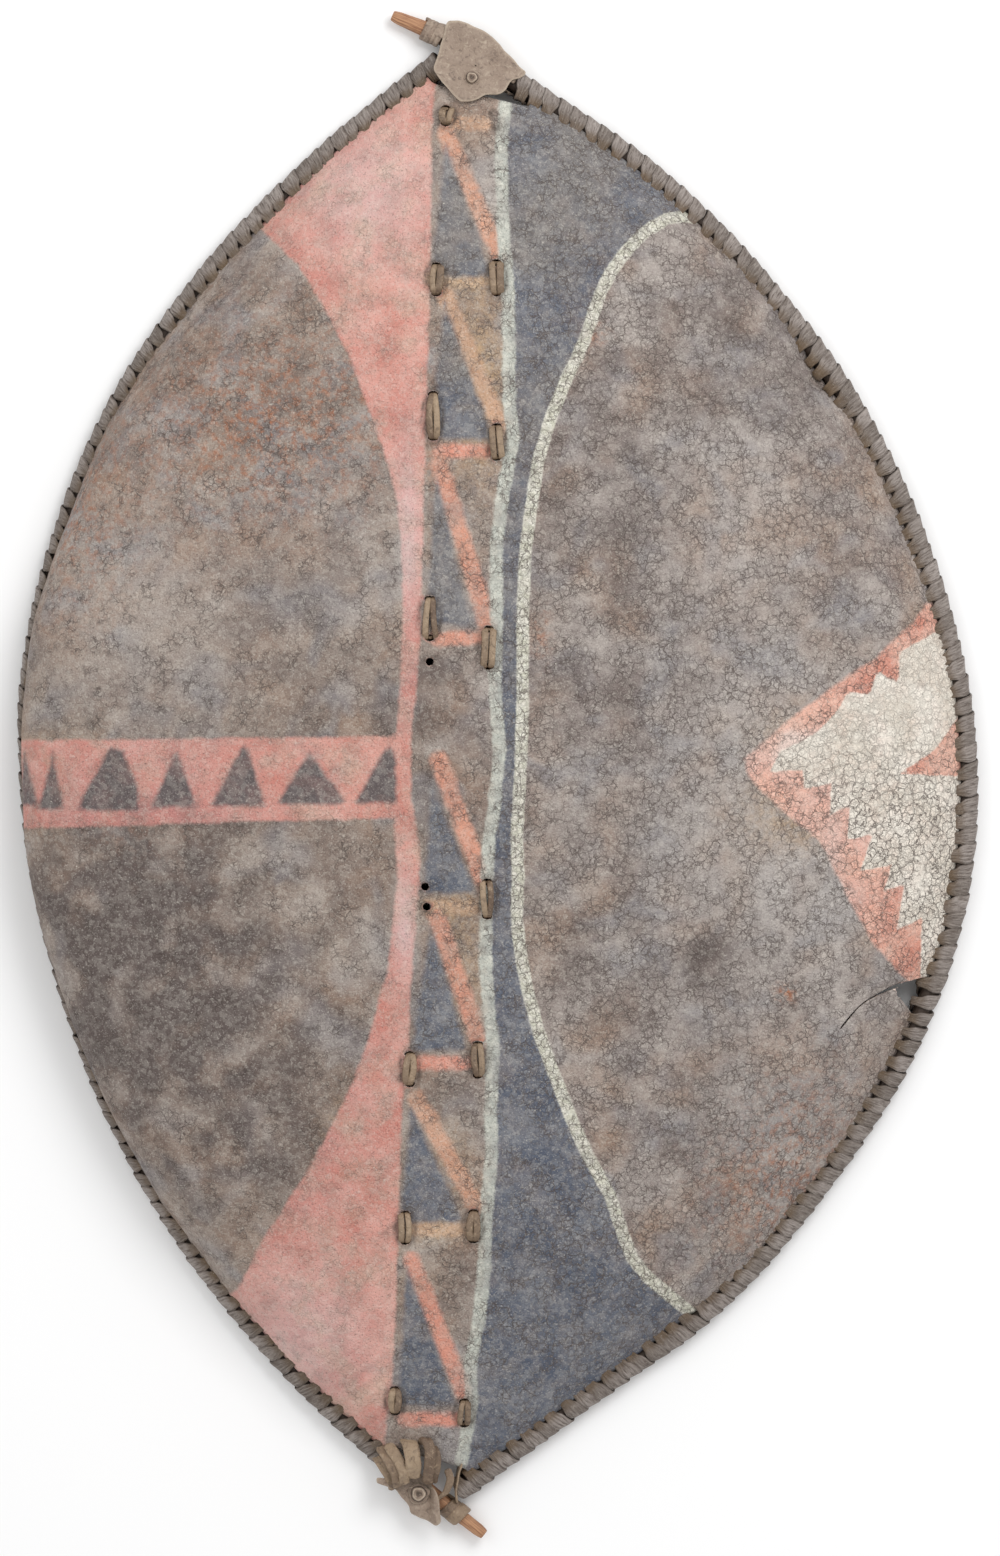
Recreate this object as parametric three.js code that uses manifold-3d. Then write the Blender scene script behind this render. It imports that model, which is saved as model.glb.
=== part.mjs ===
// A hide shield, lying face up: a domed rawhide face, laced to a bent stave with a grip
// and bound with a leather strip to a rim of two wooden rods that cross at both tips.
// Millimetres. +Y runs to the top tip, +X to the right as seen from the front, +Z out of the face.
import * as THREE from "three";
import { mergeVertices } from "three/addons/utils/BufferGeometryUtils.js";
import Module from "manifold-3d";

const wasm = await Module();
wasm.setup();

// ---- Driving dimensions -------------------------------------------------------------------

const FIT_GAP = 0.35; // clear gap that neighbouring pieces keep

// Rim rods: centre lines seen from the front, from the tail (bottom) to the tip (top).
const ROD_RADIUS = 5.5;
const ROD_HEIGHT = 8.4; // height of the centre lines over the surface the rim rests on
const ROD_SIDES = 8;
const ROD_STEPS = 42;
const RIGHT_ROD_LINE = [
  [-26, -466], [60, -403], [144, -341], [213, -261], [268, -173], [300, -72], [303, 31],
  [279, 134], [236, 230], [175, 316], [101, 390], [15, 449], [-35, 481], [-69, 496],
];
const LEFT_ROD_LINE = [
  [-9, -496], [-45, -468], [-73, -445], [-144, -376], [-203, -301], [-251, -215], [-283, -125],
  [-302, -29], [-303, 67], [-281, 161], [-242, 249], [-185, 329], [-118, 398], [-35, 467],
];

// Bare lengths of rod beyond the binding, at the tail and at the tip.
const RIGHT_BARE_TAIL = 3;
const RIGHT_BARE_TIP = 98;
const LEFT_BARE_TAIL = 78;
const LEFT_BARE_TIP = 8;

// Lengths of rod beyond the first and the last row of the hide.
const RIGHT_HIDE_TAIL = 12;
const RIGHT_HIDE_TIP = 108;
const LEFT_HIDE_TAIL = 86;
const LEFT_HIDE_TIP = 16;

// Binding: a sleeve round the rod whose two jaws grip the edge of the hide.
const BINDING_INNER_RADIUS = 6.5;
const BINDING_OUTER_RADIUS = 8.3;
const BINDING_ARC_STEPS = 6;
const BINDING_STEPS = 35;
const JAW_LENGTH = 12.6; // from the rod's centre to the end of the jaws
const JAW_HALF_WIDTH = 5;

// Hide.
const HIDE_THICKNESS = 5;
const HIDE_EDGE_REACH = 6.9; // from the rod's centre to the cut edge of the hide
const HIDE_LIP_REACH = 13.4; // from the rod's centre to where the hide leaves the jaws
const HIDE_ROWS = 36;
const HIDE_HALF_STEPS = 9;
const RIDGE_END_HEIGHT = 25; // height of the ridge at both tips
const RIDGE_MID_HEIGHT = 84; // height of the ridge at the middle, without the hand boss
const RIDGE_POWER = 2.2;
const RIDGE_LINE = [
  [-47, -460], [-38, -293], [-29, -90], [-24, 100], [-20, 290], [-18, 455],
];
const LEFT_SHOULDER = 0.8; // share of the rise that the side climbs before it turns over
const RIGHT_SHOULDER = 0.62;
const LEFT_CROWN = 0.62; // share of the half width over which the crown stays level
const RIGHT_CROWN = 0.52;
const END_LEAN = 50; // degrees from level at which the hide leaves the rim, at the tips
const LEFT_LEAN = 126; // the same at the left side, where the hide bulges over the rim
const RIGHT_LEAN = 46;
const LEAN_PEAK = 0.43; // place along the length where the sides lean most, 0 tail to 1 tip
const LEAN_SPREAD = 0.3;

// Boss of the hide over the grip, which makes room for the hand.
const BOSS_HEIGHT = 12;
const BOSS_CENTRE = [-28, -3];
const BOSS_HALF_WIDTH = 34;
const BOSS_HALF_LENGTH = 78;

// Torn corner beside the right rim, the tear that runs in from it, and bare lacing holes.
const TORN_CORNER = [
  [283, -133], [262, -136], [259, -141], [264, -148], [271, -156], [283, -150],
];
const TEAR_LINE = [[262, -136], [246, -143], [235, -150], [222, -165]];
const TEAR_HALF_WIDTH = 0.9;
const HOLE_RADIUS = 2.4;
const HOLE_SIDES = 8;
const BARE_HOLES = [[-47, -72], [-46, -85], [-44, 73], [-2, 421]];

// Stave and its grip.
const STAVE_LINE = [
  [-45, -426], [-38, -293], [-29, -90], [-24.5, 100], [-20.5, 290], [-17.5, 438],
];
const STAVE_STATIONS = 26;
const STAVE_HALF_WIDTH = 14;
const STAVE_END_HALF_WIDTH = 10;
const STAVE_THICKNESS = 9;
const STAVE_CORNER = 2.5;
const STAVE_TO_HIDE = 1.6;
const GRIP_CENTRE_Y = -3;
const GRIP_HALF_LENGTH = 55;
const GRIP_HALF_WIDTH = 11;
const GRIP_THICKNESS = 13;
const GRIP_DROP = 8; // the grip hangs this much lower than the rest of the stave
const GRIP_BLEND = 60;

// Lacing: at each level a thong comes out of the hide, runs down as a short bar and goes back
// in, left and right of the stave, and crosses behind the stave twice.
// x, y = middle of the bar, length = length of the bar; a lost bar is null.
const LACING_LEVELS = [
  { left: { x: -34, y: 429, length: 11 }, right: null, rightHole: [-2, 421] },
  { left: { x: -40, y: 321, length: 19 }, right: { x: -1, y: 322, length: 21 } },
  { left: { x: -42, y: 232, length: 29 }, right: { x: -1, y: 215, length: 21 } },
  { left: { x: -44, y: 101, length: 26 }, right: { x: -6, y: 82, length: 25 } },
  { left: null, right: { x: -7, y: -80, length: 23 } },
  { left: { x: -57, y: -190, length: 20 }, right: { x: -13, y: -184, length: 21 } },
  { left: { x: -60, y: -293, length: 19 }, right: { x: -16, y: -292, length: 19 } },
  { left: { x: -67, y: -407, length: 16 }, right: { x: -22, y: -415, length: 16 } },
];
const BAR_WIDTH = 8;
const BAR_LIFT = 0.7; // clear height of a bar over the hide at its ends
const THONG_WIDTH = 5;
const THONG_THICKNESS = 2.6;
const SLIT_WIDTH = 6;
const SLIT_EXTRA = 1.2; // the slit is this much longer than the bar
const LOST_BAR_TAIL = 7; // what is left of a thong whose bar is lost, beside the stave

// Leather at the tip: a patch over the crossing rods, folded round the right rod.
const CAP_OUTLINE = [
  [-35, 489], [-25, 491], [-11, 485], [6, 471], [13, 461], [6, 449], [2, 443],
  [-16, 440], [-26, 439], [-42, 455], [-38, 471],
];
const CAP_THICKNESS = 3;
const CAP_ROD_SIDE_HEIGHT = 14.6; // underside of the patch over the right rod
const CAP_SLOPE = 0.46; // rise of the patch for each millimetre towards the hide
const CAP_FOLD_START = 30; // the fold's two ends, measured along the right rod from its tip
const CAP_FOLD_END = 92;
const TIP_KNOT = { x: -17, y: 454, radius: 5, height: 3.5 };
const TIP_WRAP = { start: 14, length: 15, outer: 7.6 };

// Leather at the tail: a wrap, a lashed strap, a curled tab and its knot.
const TAIL_WRAP = { start: 19, length: 14, outer: 7.6 };
const TAIL_STRAP_LINE = [
  [-70, -449, 27], [-60, -452, 29], [-47, -452, 30], [-38, -458, 27], [-30, -463, 23],
];
const TAIL_STRAP_HALF_WIDTH = 8;
const TAIL_STRAP_HALF_THICKNESS = 2;
const TAB_OUTLINE = [
  [-78, -460], [-65, -462], [-57, -461], [-40, -471], [-37, -489], [-41, -489], [-56, -481], [-68, -473],
];
const TAB_THICKNESS = 3;
const TAB_HEIGHT = 14.5;
const TAIL_KNOT = { x: -52, y: -470, radius: 6.3, height: 4.5 };
const KNOT_SIDES = 10;

const RAWHIDE = new THREE.MeshStandardMaterial({ color: 0x76695f, roughness: 0.8, metalness: 0 });
const BOUND_LEATHER = new THREE.MeshStandardMaterial({ color: 0x6b6158, roughness: 0.7, metalness: 0 });
const THONG_LEATHER = new THREE.MeshStandardMaterial({ color: 0x6e5546, roughness: 0.7, metalness: 0 });
const PATCH_LEATHER = new THREE.MeshStandardMaterial({ color: 0x6a5c50, roughness: 0.7, metalness: 0 });
const ROD_WOOD = new THREE.MeshStandardMaterial({ color: 0x8f5f3c, roughness: 0.65, metalness: 0 });
const STAVE_WOOD = new THREE.MeshStandardMaterial({ color: 0x7a5a3e, roughness: 0.6, metalness: 0 });

const UP = new THREE.Vector3(0, 0, 1);
const RIGHT = 1;
const LEFT = -1;

// ---- Shape tools --------------------------------------------------------------------------

const mix = (a, b, t) => a + (b - a) * t;
const bell = (x) => Math.exp(-x * x);

function planLine(points, height = 0) {
  const at = points.map(([x, y, z]) => new THREE.Vector3(x, y, z ?? height));
  return new THREE.CatmullRomCurve3(at, false, "centripetal");
}

// Closed solid through rings of equally many points, with flat ends.
function loft(rings) {
  const count = rings[0].length;
  const points = rings.flat();
  const faces = [];
  for (let r = 0; r + 1 < rings.length; r++) {
    for (let i = 0; i < count; i++) {
      const j = (i + 1) % count;
      const [a, b] = [r * count + i, r * count + j];
      faces.push([a, b, b + count], [a, b + count, a + count]);
    }
  }
  for (const [ring, flip] of [[0, true], [rings.length - 1, false]]) {
    const outline = flatten(rings[ring]);
    for (const [a, b, c] of THREE.ShapeUtils.triangulateShape(outline, [])) {
      const face = [a, b, c].map((i) => ring * count + i);
      faces.push(flip ? face.reverse() : face);
    }
  }
  return meshFrom(points, faces);
}

// A planar ring's points in two coordinates of its own plane, counterclockwise as listed.
function flatten(ring) {
  const middle = ring.reduce((sum, p) => sum.add(p), new THREE.Vector3()).divideScalar(ring.length);
  const normal = new THREE.Vector3();
  ring.forEach((p, i) => {
    const next = ring[(i + 1) % ring.length];
    normal.add(p.clone().sub(middle).cross(next.clone().sub(middle)));
  });
  normal.normalize();
  const across = ring[0].clone().sub(middle);
  across.addScaledVector(normal, -across.dot(normal)).normalize();
  const along = normal.clone().cross(across);
  return ring.map((p) => {
    const offset = p.clone().sub(middle);
    return new THREE.Vector2(offset.dot(across), offset.dot(along));
  });
}

// Indexed geometry whose faces point outwards.
function meshFrom(points, faces) {
  let volume = 0;
  for (const [a, b, c] of faces) {
    volume += points[a].dot(points[b].clone().cross(points[c]));
  }
  const turned = volume < 0 ? faces.map(([a, b, c]) => [a, c, b]) : faces;
  const geometry = new THREE.BufferGeometry();
  geometry.setAttribute("position", new THREE.Float32BufferAttribute(points.flatMap((p) => p.toArray()), 3));
  geometry.setIndex(turned.flat());
  return geometry;
}

function toSolid(geometry) {
  const bare = geometry.index ? geometry.toNonIndexed() : geometry.clone();
  bare.deleteAttribute("normal");
  bare.deleteAttribute("uv");
  const merged = mergeVertices(bare, 1e-3);
  const vertProperties = merged.attributes.position.array;
  const triVerts = new Uint32Array(merged.index.array);
  return new wasm.Manifold(new wasm.Mesh({ numProp: 3, vertProperties, triVerts }));
}

function fromSolid(solid) {
  const mesh = solid.getMesh();
  const geometry = new THREE.BufferGeometry();
  geometry.setAttribute("position", new THREE.Float32BufferAttribute(mesh.vertProperties, 3));
  geometry.setIndex(Array.from(mesh.triVerts));
  return geometry;
}

const joined = (geometries) => fromSolid(geometries.map(toSolid).reduce((a, b) => a.add(b)));

function cut(geometry, cutters) {
  return fromSolid(cutters.map(toSolid).reduce((a, b) => a.subtract(b), toSolid(geometry)));
}

// Upright prism over an outline seen from the front.
function prism(outline, bottom, top) {
  const shape = new THREE.Shape(outline.map(([x, y]) => new THREE.Vector2(x, y)));
  const geometry = new THREE.ExtrudeGeometry(shape, { depth: top - bottom, bevelEnabled: false });
  return geometry.translate(0, 0, bottom);
}

// Straight strip from a to b, as wide as given across the direction nearest to level.
function strip(a, b, width, thickness) {
  const along = b.clone().sub(a);
  const length = along.length();
  along.normalize();
  const side = Math.abs(along.z) > 0.9 ? new THREE.Vector3(1, 0, 0) : along.clone().cross(UP).normalize();
  const up = side.clone().cross(along);
  const frame = new THREE.Matrix4().makeBasis(side, along, up);
  frame.setPosition(a.clone().lerp(b, 0.5));
  return new THREE.BoxGeometry(width, length, thickness).applyMatrix4(frame);
}

// ---- Rim ----------------------------------------------------------------------------------

const rightRod = planLine(RIGHT_ROD_LINE, ROD_HEIGHT);
const leftRod = planLine(LEFT_ROD_LINE, ROD_HEIGHT);
for (const rod of [rightRod, leftRod]) rod.arcLengthDivisions = 2000;

function rodSolid(rod) {
  const section = new THREE.Shape();
  for (let i = 0; i < ROD_SIDES; i++) {
    const angle = ((i + 0.5) / ROD_SIDES) * 2 * Math.PI;
    const [x, y] = [ROD_RADIUS * Math.cos(angle), ROD_RADIUS * Math.sin(angle)];
    if (i === 0) section.moveTo(x, y);
    else section.lineTo(x, y);
  }
  section.closePath();
  return new THREE.ExtrudeGeometry(section, { steps: ROD_STEPS, bevelEnabled: false, extrudePath: rod });
}

// The rod's centre, the level direction from it towards the hide, and the share of its length.
function rimFrame(rod, side, distance) {
  const share = distance / rod.getLength();
  const centre = rod.getPointAt(share);
  const along = rod.getTangentAt(share);
  const inward = new THREE.Vector3(-along.y, along.x, 0).multiplyScalar(side).normalize();
  return { centre, inward };
}

// Angle from level at which the hide leaves the rim, at a place 0 (tail) to 1 (tip).
function leanAngle(side, place) {
  const most = side === LEFT ? LEFT_LEAN : RIGHT_LEAN;
  const share = bell((place - LEAN_PEAK) / LEAN_SPREAD);
  return THREE.MathUtils.degToRad(mix(END_LEAN, most, share));
}

const RIM_SIDES = {
  [RIGHT]: {
    rod: rightRod,
    hide: [RIGHT_HIDE_TAIL, rightRod.getLength() - RIGHT_HIDE_TIP],
    binding: [RIGHT_BARE_TAIL, rightRod.getLength() - RIGHT_BARE_TIP],
  },
  [LEFT]: {
    rod: leftRod,
    hide: [LEFT_HIDE_TAIL, leftRod.getLength() - LEFT_HIDE_TIP],
    binding: [LEFT_BARE_TAIL, leftRod.getLength() - LEFT_BARE_TIP],
  },
};

const placeOf = (side, distance) => {
  const [start, end] = RIM_SIDES[side].hide;
  return (distance - start) / (end - start);
};

// Section of the binding: [towards the hide, square to that] pairs round the rod's centre.
function bindingSection() {
  const slot = HIDE_THICKNESS / 2 + FIT_GAP + 0.2;
  const arc = (radius, halfWidth, turn) => {
    const start = Math.asin(halfWidth / radius);
    const sweep = 2 * Math.PI - 2 * start;
    return Array.from({ length: BINDING_ARC_STEPS + 1 }, (_, i) => {
      const angle = turn * (start + (sweep * i) / BINDING_ARC_STEPS);
      return [radius * Math.cos(angle), radius * Math.sin(angle)];
    });
  };
  return [
    [JAW_LENGTH, JAW_HALF_WIDTH],
    ...arc(BINDING_OUTER_RADIUS, JAW_HALF_WIDTH, 1),
    [JAW_LENGTH, -JAW_HALF_WIDTH],
    [JAW_LENGTH, -slot],
    ...arc(BINDING_INNER_RADIUS, slot, -1),
    [JAW_LENGTH, slot],
  ];
}

function bindingSolid(side) {
  const { rod, binding } = RIM_SIDES[side];
  const section = bindingSection();
  const rings = [];
  for (let i = 0; i <= BINDING_STEPS; i++) {
    const distance = mix(binding[0], binding[1], i / BINDING_STEPS);
    const { centre, inward } = rimFrame(rod, side, distance);
    const lean = leanAngle(side, placeOf(side, distance));
    const outOfRim = inward.clone().multiplyScalar(Math.cos(lean)).addScaledVector(UP, Math.sin(lean));
    const square = inward.clone().multiplyScalar(-Math.sin(lean)).addScaledVector(UP, Math.cos(lean));
    rings.push(section.map(([out, across]) =>
      centre.clone().addScaledVector(outOfRim, out).addScaledVector(square, across)));
  }
  return loft(rings);
}

// ---- Hide ---------------------------------------------------------------------------------

const ridgePlan = planLine(RIDGE_LINE);
const ridgePoints = ridgePlan.getPoints(400);

function ridgeX(y) {
  const next = ridgePoints.findIndex((p) => p.y >= y);
  if (next <= 0) return next === 0 ? ridgePoints[0].x : ridgePoints.at(-1).x;
  const [a, b] = [ridgePoints[next - 1], ridgePoints[next]];
  return mix(a.x, b.x, (y - a.y) / (b.y - a.y));
}

const ridgeHeight = (place) =>
  mix(RIDGE_END_HEIGHT, RIDGE_MID_HEIGHT, 1 - Math.abs(2 * place - 1) ** RIDGE_POWER);

function bossAt(x, y) {
  const across = bell((x - BOSS_CENTRE[0]) / BOSS_HALF_WIDTH);
  return BOSS_HEIGHT * across * bell((y - BOSS_CENTRE[1]) / BOSS_HALF_LENGTH);
}

// Where the hide leaves the rim at one side: its cut edge, its lip and the direction it takes.
function rimStart(side, place) {
  const { rod, hide } = RIM_SIDES[side];
  const { centre, inward } = rimFrame(rod, side, mix(hide[0], hide[1], place));
  const lean = leanAngle(side, place);
  const direction = inward.multiplyScalar(Math.cos(lean)).addScaledVector(UP, Math.sin(lean));
  return {
    edge: centre.clone().addScaledVector(direction, HIDE_EDGE_REACH),
    lip: centre.clone().addScaledVector(direction, HIDE_LIP_REACH),
    rise: direction.clone().divideScalar(direction.z),
  };
}

// One row across the hide's middle surface, from the left edge over the ridge to the right one.
// Each half is a cubic Bezier curve that leaves the rim along its lean and is level at the ridge.
function hideRow(place) {
  const starts = { [LEFT]: rimStart(LEFT, place), [RIGHT]: rimStart(RIGHT, place) };
  const y = (starts[LEFT].lip.y + starts[RIGHT].lip.y) / 2;
  const ridge = new THREE.Vector3(ridgeX(y), y, ridgeHeight(place) - HIDE_THICKNESS / 2);
  const half = (side, shoulder, crown) => {
    const { edge, lip, rise } = starts[side];
    const climb = shoulder * (ridge.z - lip.z);
    const level = lip.clone().lerp(ridge, 1 - crown).setZ(ridge.z);
    const curve = new THREE.CubicBezierCurve3(lip, lip.clone().addScaledVector(rise, climb), level, ridge);
    return [edge, ...curve.getPoints(HIDE_HALF_STEPS)];
  };
  const left = half(LEFT, LEFT_SHOULDER, LEFT_CROWN);
  const right = half(RIGHT, RIGHT_SHOULDER, RIGHT_CROWN);
  const row = [...left, ...right.slice(0, -1).reverse()];
  return row.map((p) => p.setZ(p.z + bossAt(p.x, p.y)));
}

function hideShell() {
  const grid = Array.from({ length: HIDE_ROWS }, (_, r) => hideRow(r / (HIDE_ROWS - 1)));
  const across = grid[0].length;
  const offset = (r, i, distance) => {
    const next = (list, k, step) => list[Math.min(Math.max(k + step, 0), list.length - 1)];
    const along = next(grid, r, 1)[i].clone().sub(next(grid, r, -1)[i]);
    const over = next(grid[r], i, 1).clone().sub(next(grid[r], i, -1));
    const normal = over.cross(along).normalize();
    return grid[r][i].clone().addScaledVector(normal, distance);
  };
  const rings = grid.map((row, r) => [
    ...row.map((_, i) => offset(r, i, HIDE_THICKNESS / 2)),
    ...row.map((_, i) => offset(r, across - 1 - i, -HIDE_THICKNESS / 2)),
  ]);
  // The two end rings are narrow bands, so they close with quads between outer and inner points.
  const count = 2 * across;
  const points = rings.flat();
  const faces = [];
  for (let r = 0; r + 1 < rings.length; r++) {
    for (let i = 0; i < count; i++) {
      const j = (i + 1) % count;
      const [a, b] = [r * count + i, r * count + j];
      faces.push([a, b, b + count], [a, b + count, a + count]);
    }
  }
  for (const [ring, flip] of [[0, true], [rings.length - 1, false]]) {
    for (let i = 0; i + 1 < across; i++) {
      const corners = [i, i + 1, count - 2 - i, count - 1 - i].map((k) => ring * count + k);
      const [a, b, c, d] = flip ? corners.reverse() : corners;
      faces.push([a, b, c], [a, c, d]);
    }
  }
  return meshFrom(points, faces);
}

const wholeHide = hideShell();
const hideProbe = new THREE.Mesh(wholeHide, new THREE.MeshBasicMaterial({ side: THREE.DoubleSide }));
hideProbe.updateMatrixWorld();
const SKY = 500;

// Height of the hide's face (or of its inner surface) over a point seen from the front.
function hideHeight(x, y, inner = false) {
  const from = new THREE.Vector3(x, y, inner ? 0 : SKY);
  const ray = new THREE.Raycaster(from, inner ? UP : UP.clone().negate());
  return ray.intersectObject(hideProbe)[0].point.z;
}

const heightUnder = (spots) => Math.max(...spots.map(([x, y]) => hideHeight(x, y)));

function roundOutline(x, y, radius, sides) {
  return Array.from({ length: sides }, (_, i) => {
    const angle = (i / sides) * 2 * Math.PI;
    return [x + radius * Math.cos(angle), y + radius * Math.sin(angle)];
  });
}

// A thin spindle along a line of points, widest at its start.
function tearOutline() {
  const edge = (sign) => TEAR_LINE.map(([x, y], i) => {
    const [ax, ay] = TEAR_LINE[Math.max(i - 1, 0)];
    const [bx, by] = TEAR_LINE[Math.min(i + 1, TEAR_LINE.length - 1)];
    const length = Math.hypot(bx - ax, by - ay);
    const half = sign * TEAR_HALF_WIDTH * (1 - (0.7 * i) / (TEAR_LINE.length - 1));
    return [x - (half * (by - ay)) / length, y + (half * (bx - ax)) / length];
  });
  return [...edge(1), ...edge(-1).reverse()];
}

function slitOutline({ x, y, length }) {
  const [w, l] = [SLIT_WIDTH / 2, length / 2 + SLIT_EXTRA];
  return [[x - w, y - l], [x + w, y - l], [x + w, y + l], [x - w, y + l]];
}

const bars = LACING_LEVELS.flatMap((level) => [level.left, level.right]).filter(Boolean);

function hideSolid() {
  const through = (outline) => prism(outline, -5, SKY / 4);
  return cut(wholeHide, [
    through(TORN_CORNER),
    through(tearOutline()),
    ...bars.map((bar) => through(slitOutline(bar))),
    ...BARE_HOLES.map(([x, y]) => through(roundOutline(x, y, HOLE_RADIUS, HOLE_SIDES))),
  ]);
}

// ---- Stave --------------------------------------------------------------------------------

const staveCurve = planLine(STAVE_LINE);
staveCurve.arcLengthDivisions = 2000;

// 1 over the grip, falling to 0 beyond it.
function gripShare(y) {
  const beyond = Math.max(Math.abs(y - GRIP_CENTRE_Y) - GRIP_HALF_LENGTH, 0);
  return bell(beyond / GRIP_BLEND);
}

// Underside of the hide along the ridge, without the boss over the grip.
const ridgeStations = Array.from({ length: 4 * HIDE_ROWS }, (_, i) => {
  const place = i / (4 * HIDE_ROWS - 1);
  const y = (rimStart(LEFT, place).lip.y + rimStart(RIGHT, place).lip.y) / 2;
  return { y, z: ridgeHeight(place) - HIDE_THICKNESS };
});

function ridgeUnderside(y) {
  const next = Math.max(ridgeStations.findIndex((s) => s.y >= y), 1);
  const [a, b] = [ridgeStations[next - 1], ridgeStations[next]];
  return mix(a.z, b.z, (y - a.y) / (b.y - a.y));
}

// Upper surface of the stave: it follows the ridge from below and is level along the grip.
function staveTop(y) {
  const grip = gripShare(y);
  return mix(ridgeUnderside(y), ridgeUnderside(GRIP_CENTRE_Y), grip) - STAVE_TO_HIDE - GRIP_DROP * grip;
}

function staveSize(share, y) {
  const end = Math.min(1, 6 * Math.min(share, 1 - share));
  const body = mix(STAVE_END_HALF_WIDTH, STAVE_HALF_WIDTH, end);
  return {
    half: mix(body, GRIP_HALF_WIDTH, gripShare(y)),
    thick: mix(STAVE_THICKNESS, GRIP_THICKNESS, gripShare(y)),
  };
}

function staveSolid() {
  const rings = [];
  for (let i = 0; i <= STAVE_STATIONS; i++) {
    const share = i / STAVE_STATIONS;
    const centre = staveCurve.getPointAt(share);
    const { half, thick } = staveSize(share, centre.y);
    const top = staveTop(centre.y);
    const c = STAVE_CORNER;
    const section = [
      [-half + c, 0], [half - c, 0], [half, -c], [half, c - thick],
      [half - c, -thick], [c - half, -thick], [-half, c - thick], [-half, -c],
    ];
    rings.push(section.map(([x, z]) => new THREE.Vector3(centre.x + x, centre.y, top + z)));
  }
  return loft(rings);
}

// ---- Lacing -------------------------------------------------------------------------------

// A bar over the hide with its two legs, down to the level of the crossings behind the stave.
function barPieces({ x, y, length }, backHeight) {
  const reach = length / 2 - THONG_THICKNESS / 2;
  const ends = [1, -1].map((sign) => {
    const spots = [[x - BAR_WIDTH / 2, y + sign * reach], [x + BAR_WIDTH / 2, y + sign * reach]];
    const outer = [x, y + sign * (length / 2 + 1)];
    const z = heightUnder([...spots, outer]) + BAR_LIFT + THONG_THICKNESS / 2;
    return new THREE.Vector3(x, y + sign * reach, z);
  });
  const along = ends[0].clone().sub(ends[1]).normalize().multiplyScalar(THONG_THICKNESS / 2);
  const bar = strip(ends[1].clone().sub(along), ends[0].clone().add(along), BAR_WIDTH, THONG_THICKNESS);
  const legs = ends.map((end) =>
    strip(end.clone().setZ(backHeight - THONG_THICKNESS / 2), end, THONG_WIDTH, THONG_THICKNESS));
  return { bar, legs, ends };
}

function lacingSolid({ left, right, rightHole }) {
  const known = [left, right].filter(Boolean);
  const middle = known.reduce((sum, bar) => sum + bar.y, 0) / known.length;
  const length = Math.min(...known.map((bar) => bar.length));
  const reach = Math.max(...known.map((bar) => Math.abs(bar.y - middle) + bar.length / 2));
  const lowest = Math.min(...[-1, 0, 1].map((k) => {
    const y = middle + k * reach;
    return staveTop(y) - mix(STAVE_THICKNESS, GRIP_THICKNESS, gripShare(y));
  }));
  const backHeight = lowest - FIT_GAP - THONG_THICKNESS / 2;
  const made = known.map((bar) => barPieces(bar, backHeight));
  const pieces = made.flatMap(({ bar, legs }) => [bar, ...legs]);
  for (const k of [0, 1]) {
    const ends = made.map((m) => m.ends[k].clone().setZ(backHeight));
    if (ends.length === 1) {
      const known = ends[0];
      const lostX = left ? rightHole[0] : known.x - 2 * (known.x - staveX(known.y));
      const toLost = Math.sign(lostX - known.x);
      ends.push(known.clone().setX(lostX - toLost * (THONG_WIDTH - LOST_BAR_TAIL / 2)));
    }
    const over = ends[1].clone().sub(ends[0]).setZ(0).normalize().multiplyScalar(THONG_WIDTH / 2);
    pieces.push(strip(ends[0].clone().sub(over), ends[1].clone().add(over), THONG_THICKNESS * 1.5, THONG_THICKNESS));
  }
  return joined(pieces);
}

function staveX(y) {
  const points = staveCurve.getPoints(200);
  return points.reduce((best, p) => (Math.abs(p.y - y) < Math.abs(best.y - y) ? p : best)).x;
}

// ---- Leather at the tips ------------------------------------------------------------------

// Half sleeve round the outer side of the right rod, which carries the fold of the patch.
function capFold() {
  const arc = [100, 60, 20, -20, -60, -100];
  const rings = [];
  const steps = 5;
  for (let i = 0; i <= steps; i++) {
    const distance = rightRod.getLength() - mix(CAP_FOLD_END, CAP_FOLD_START, i / steps);
    const { centre, inward } = rimFrame(rightRod, RIGHT, distance);
    const point = (radius, degrees) => {
      const angle = THREE.MathUtils.degToRad(degrees);
      return centre.clone()
        .addScaledVector(inward, -radius * Math.cos(angle))
        .addScaledVector(UP, radius * Math.sin(angle));
    };
    rings.push([
      ...arc.map((degrees) => point(BINDING_OUTER_RADIUS, degrees)),
      ...arc.toReversed().map((degrees) => point(BINDING_INNER_RADIUS, degrees)),
    ]);
  }
  return loft(rings);
}

// Sloping patch: it lies on the right rod and rises onto the ridge of the hide.
function capPatch() {
  const { centre, inward } = rimFrame(rightRod, RIGHT, rightRod.getLength() - CAP_FOLD_START);
  const patch = prism(CAP_OUTLINE, 0, CAP_THICKNESS);
  const at = patch.attributes.position;
  for (let i = 0; i < at.count; i++) {
    const offset = new THREE.Vector3().fromBufferAttribute(at, i).sub(centre).setZ(0);
    const towardsHide = Math.max(offset.dot(inward), 0);
    at.setZ(i, at.getZ(i) + CAP_ROD_SIDE_HEIGHT + CAP_SLOPE * towardsHide);
  }
  return patch;
}

const capHeight = (x, y) => {
  const { centre, inward } = rimFrame(rightRod, RIGHT, rightRod.getLength() - CAP_FOLD_START);
  const towardsHide = Math.max(new THREE.Vector3(x, y, 0).sub(centre).setZ(0).dot(inward), 0);
  return CAP_ROD_SIDE_HEIGHT + CAP_SLOPE * towardsHide + CAP_THICKNESS;
};

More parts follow.
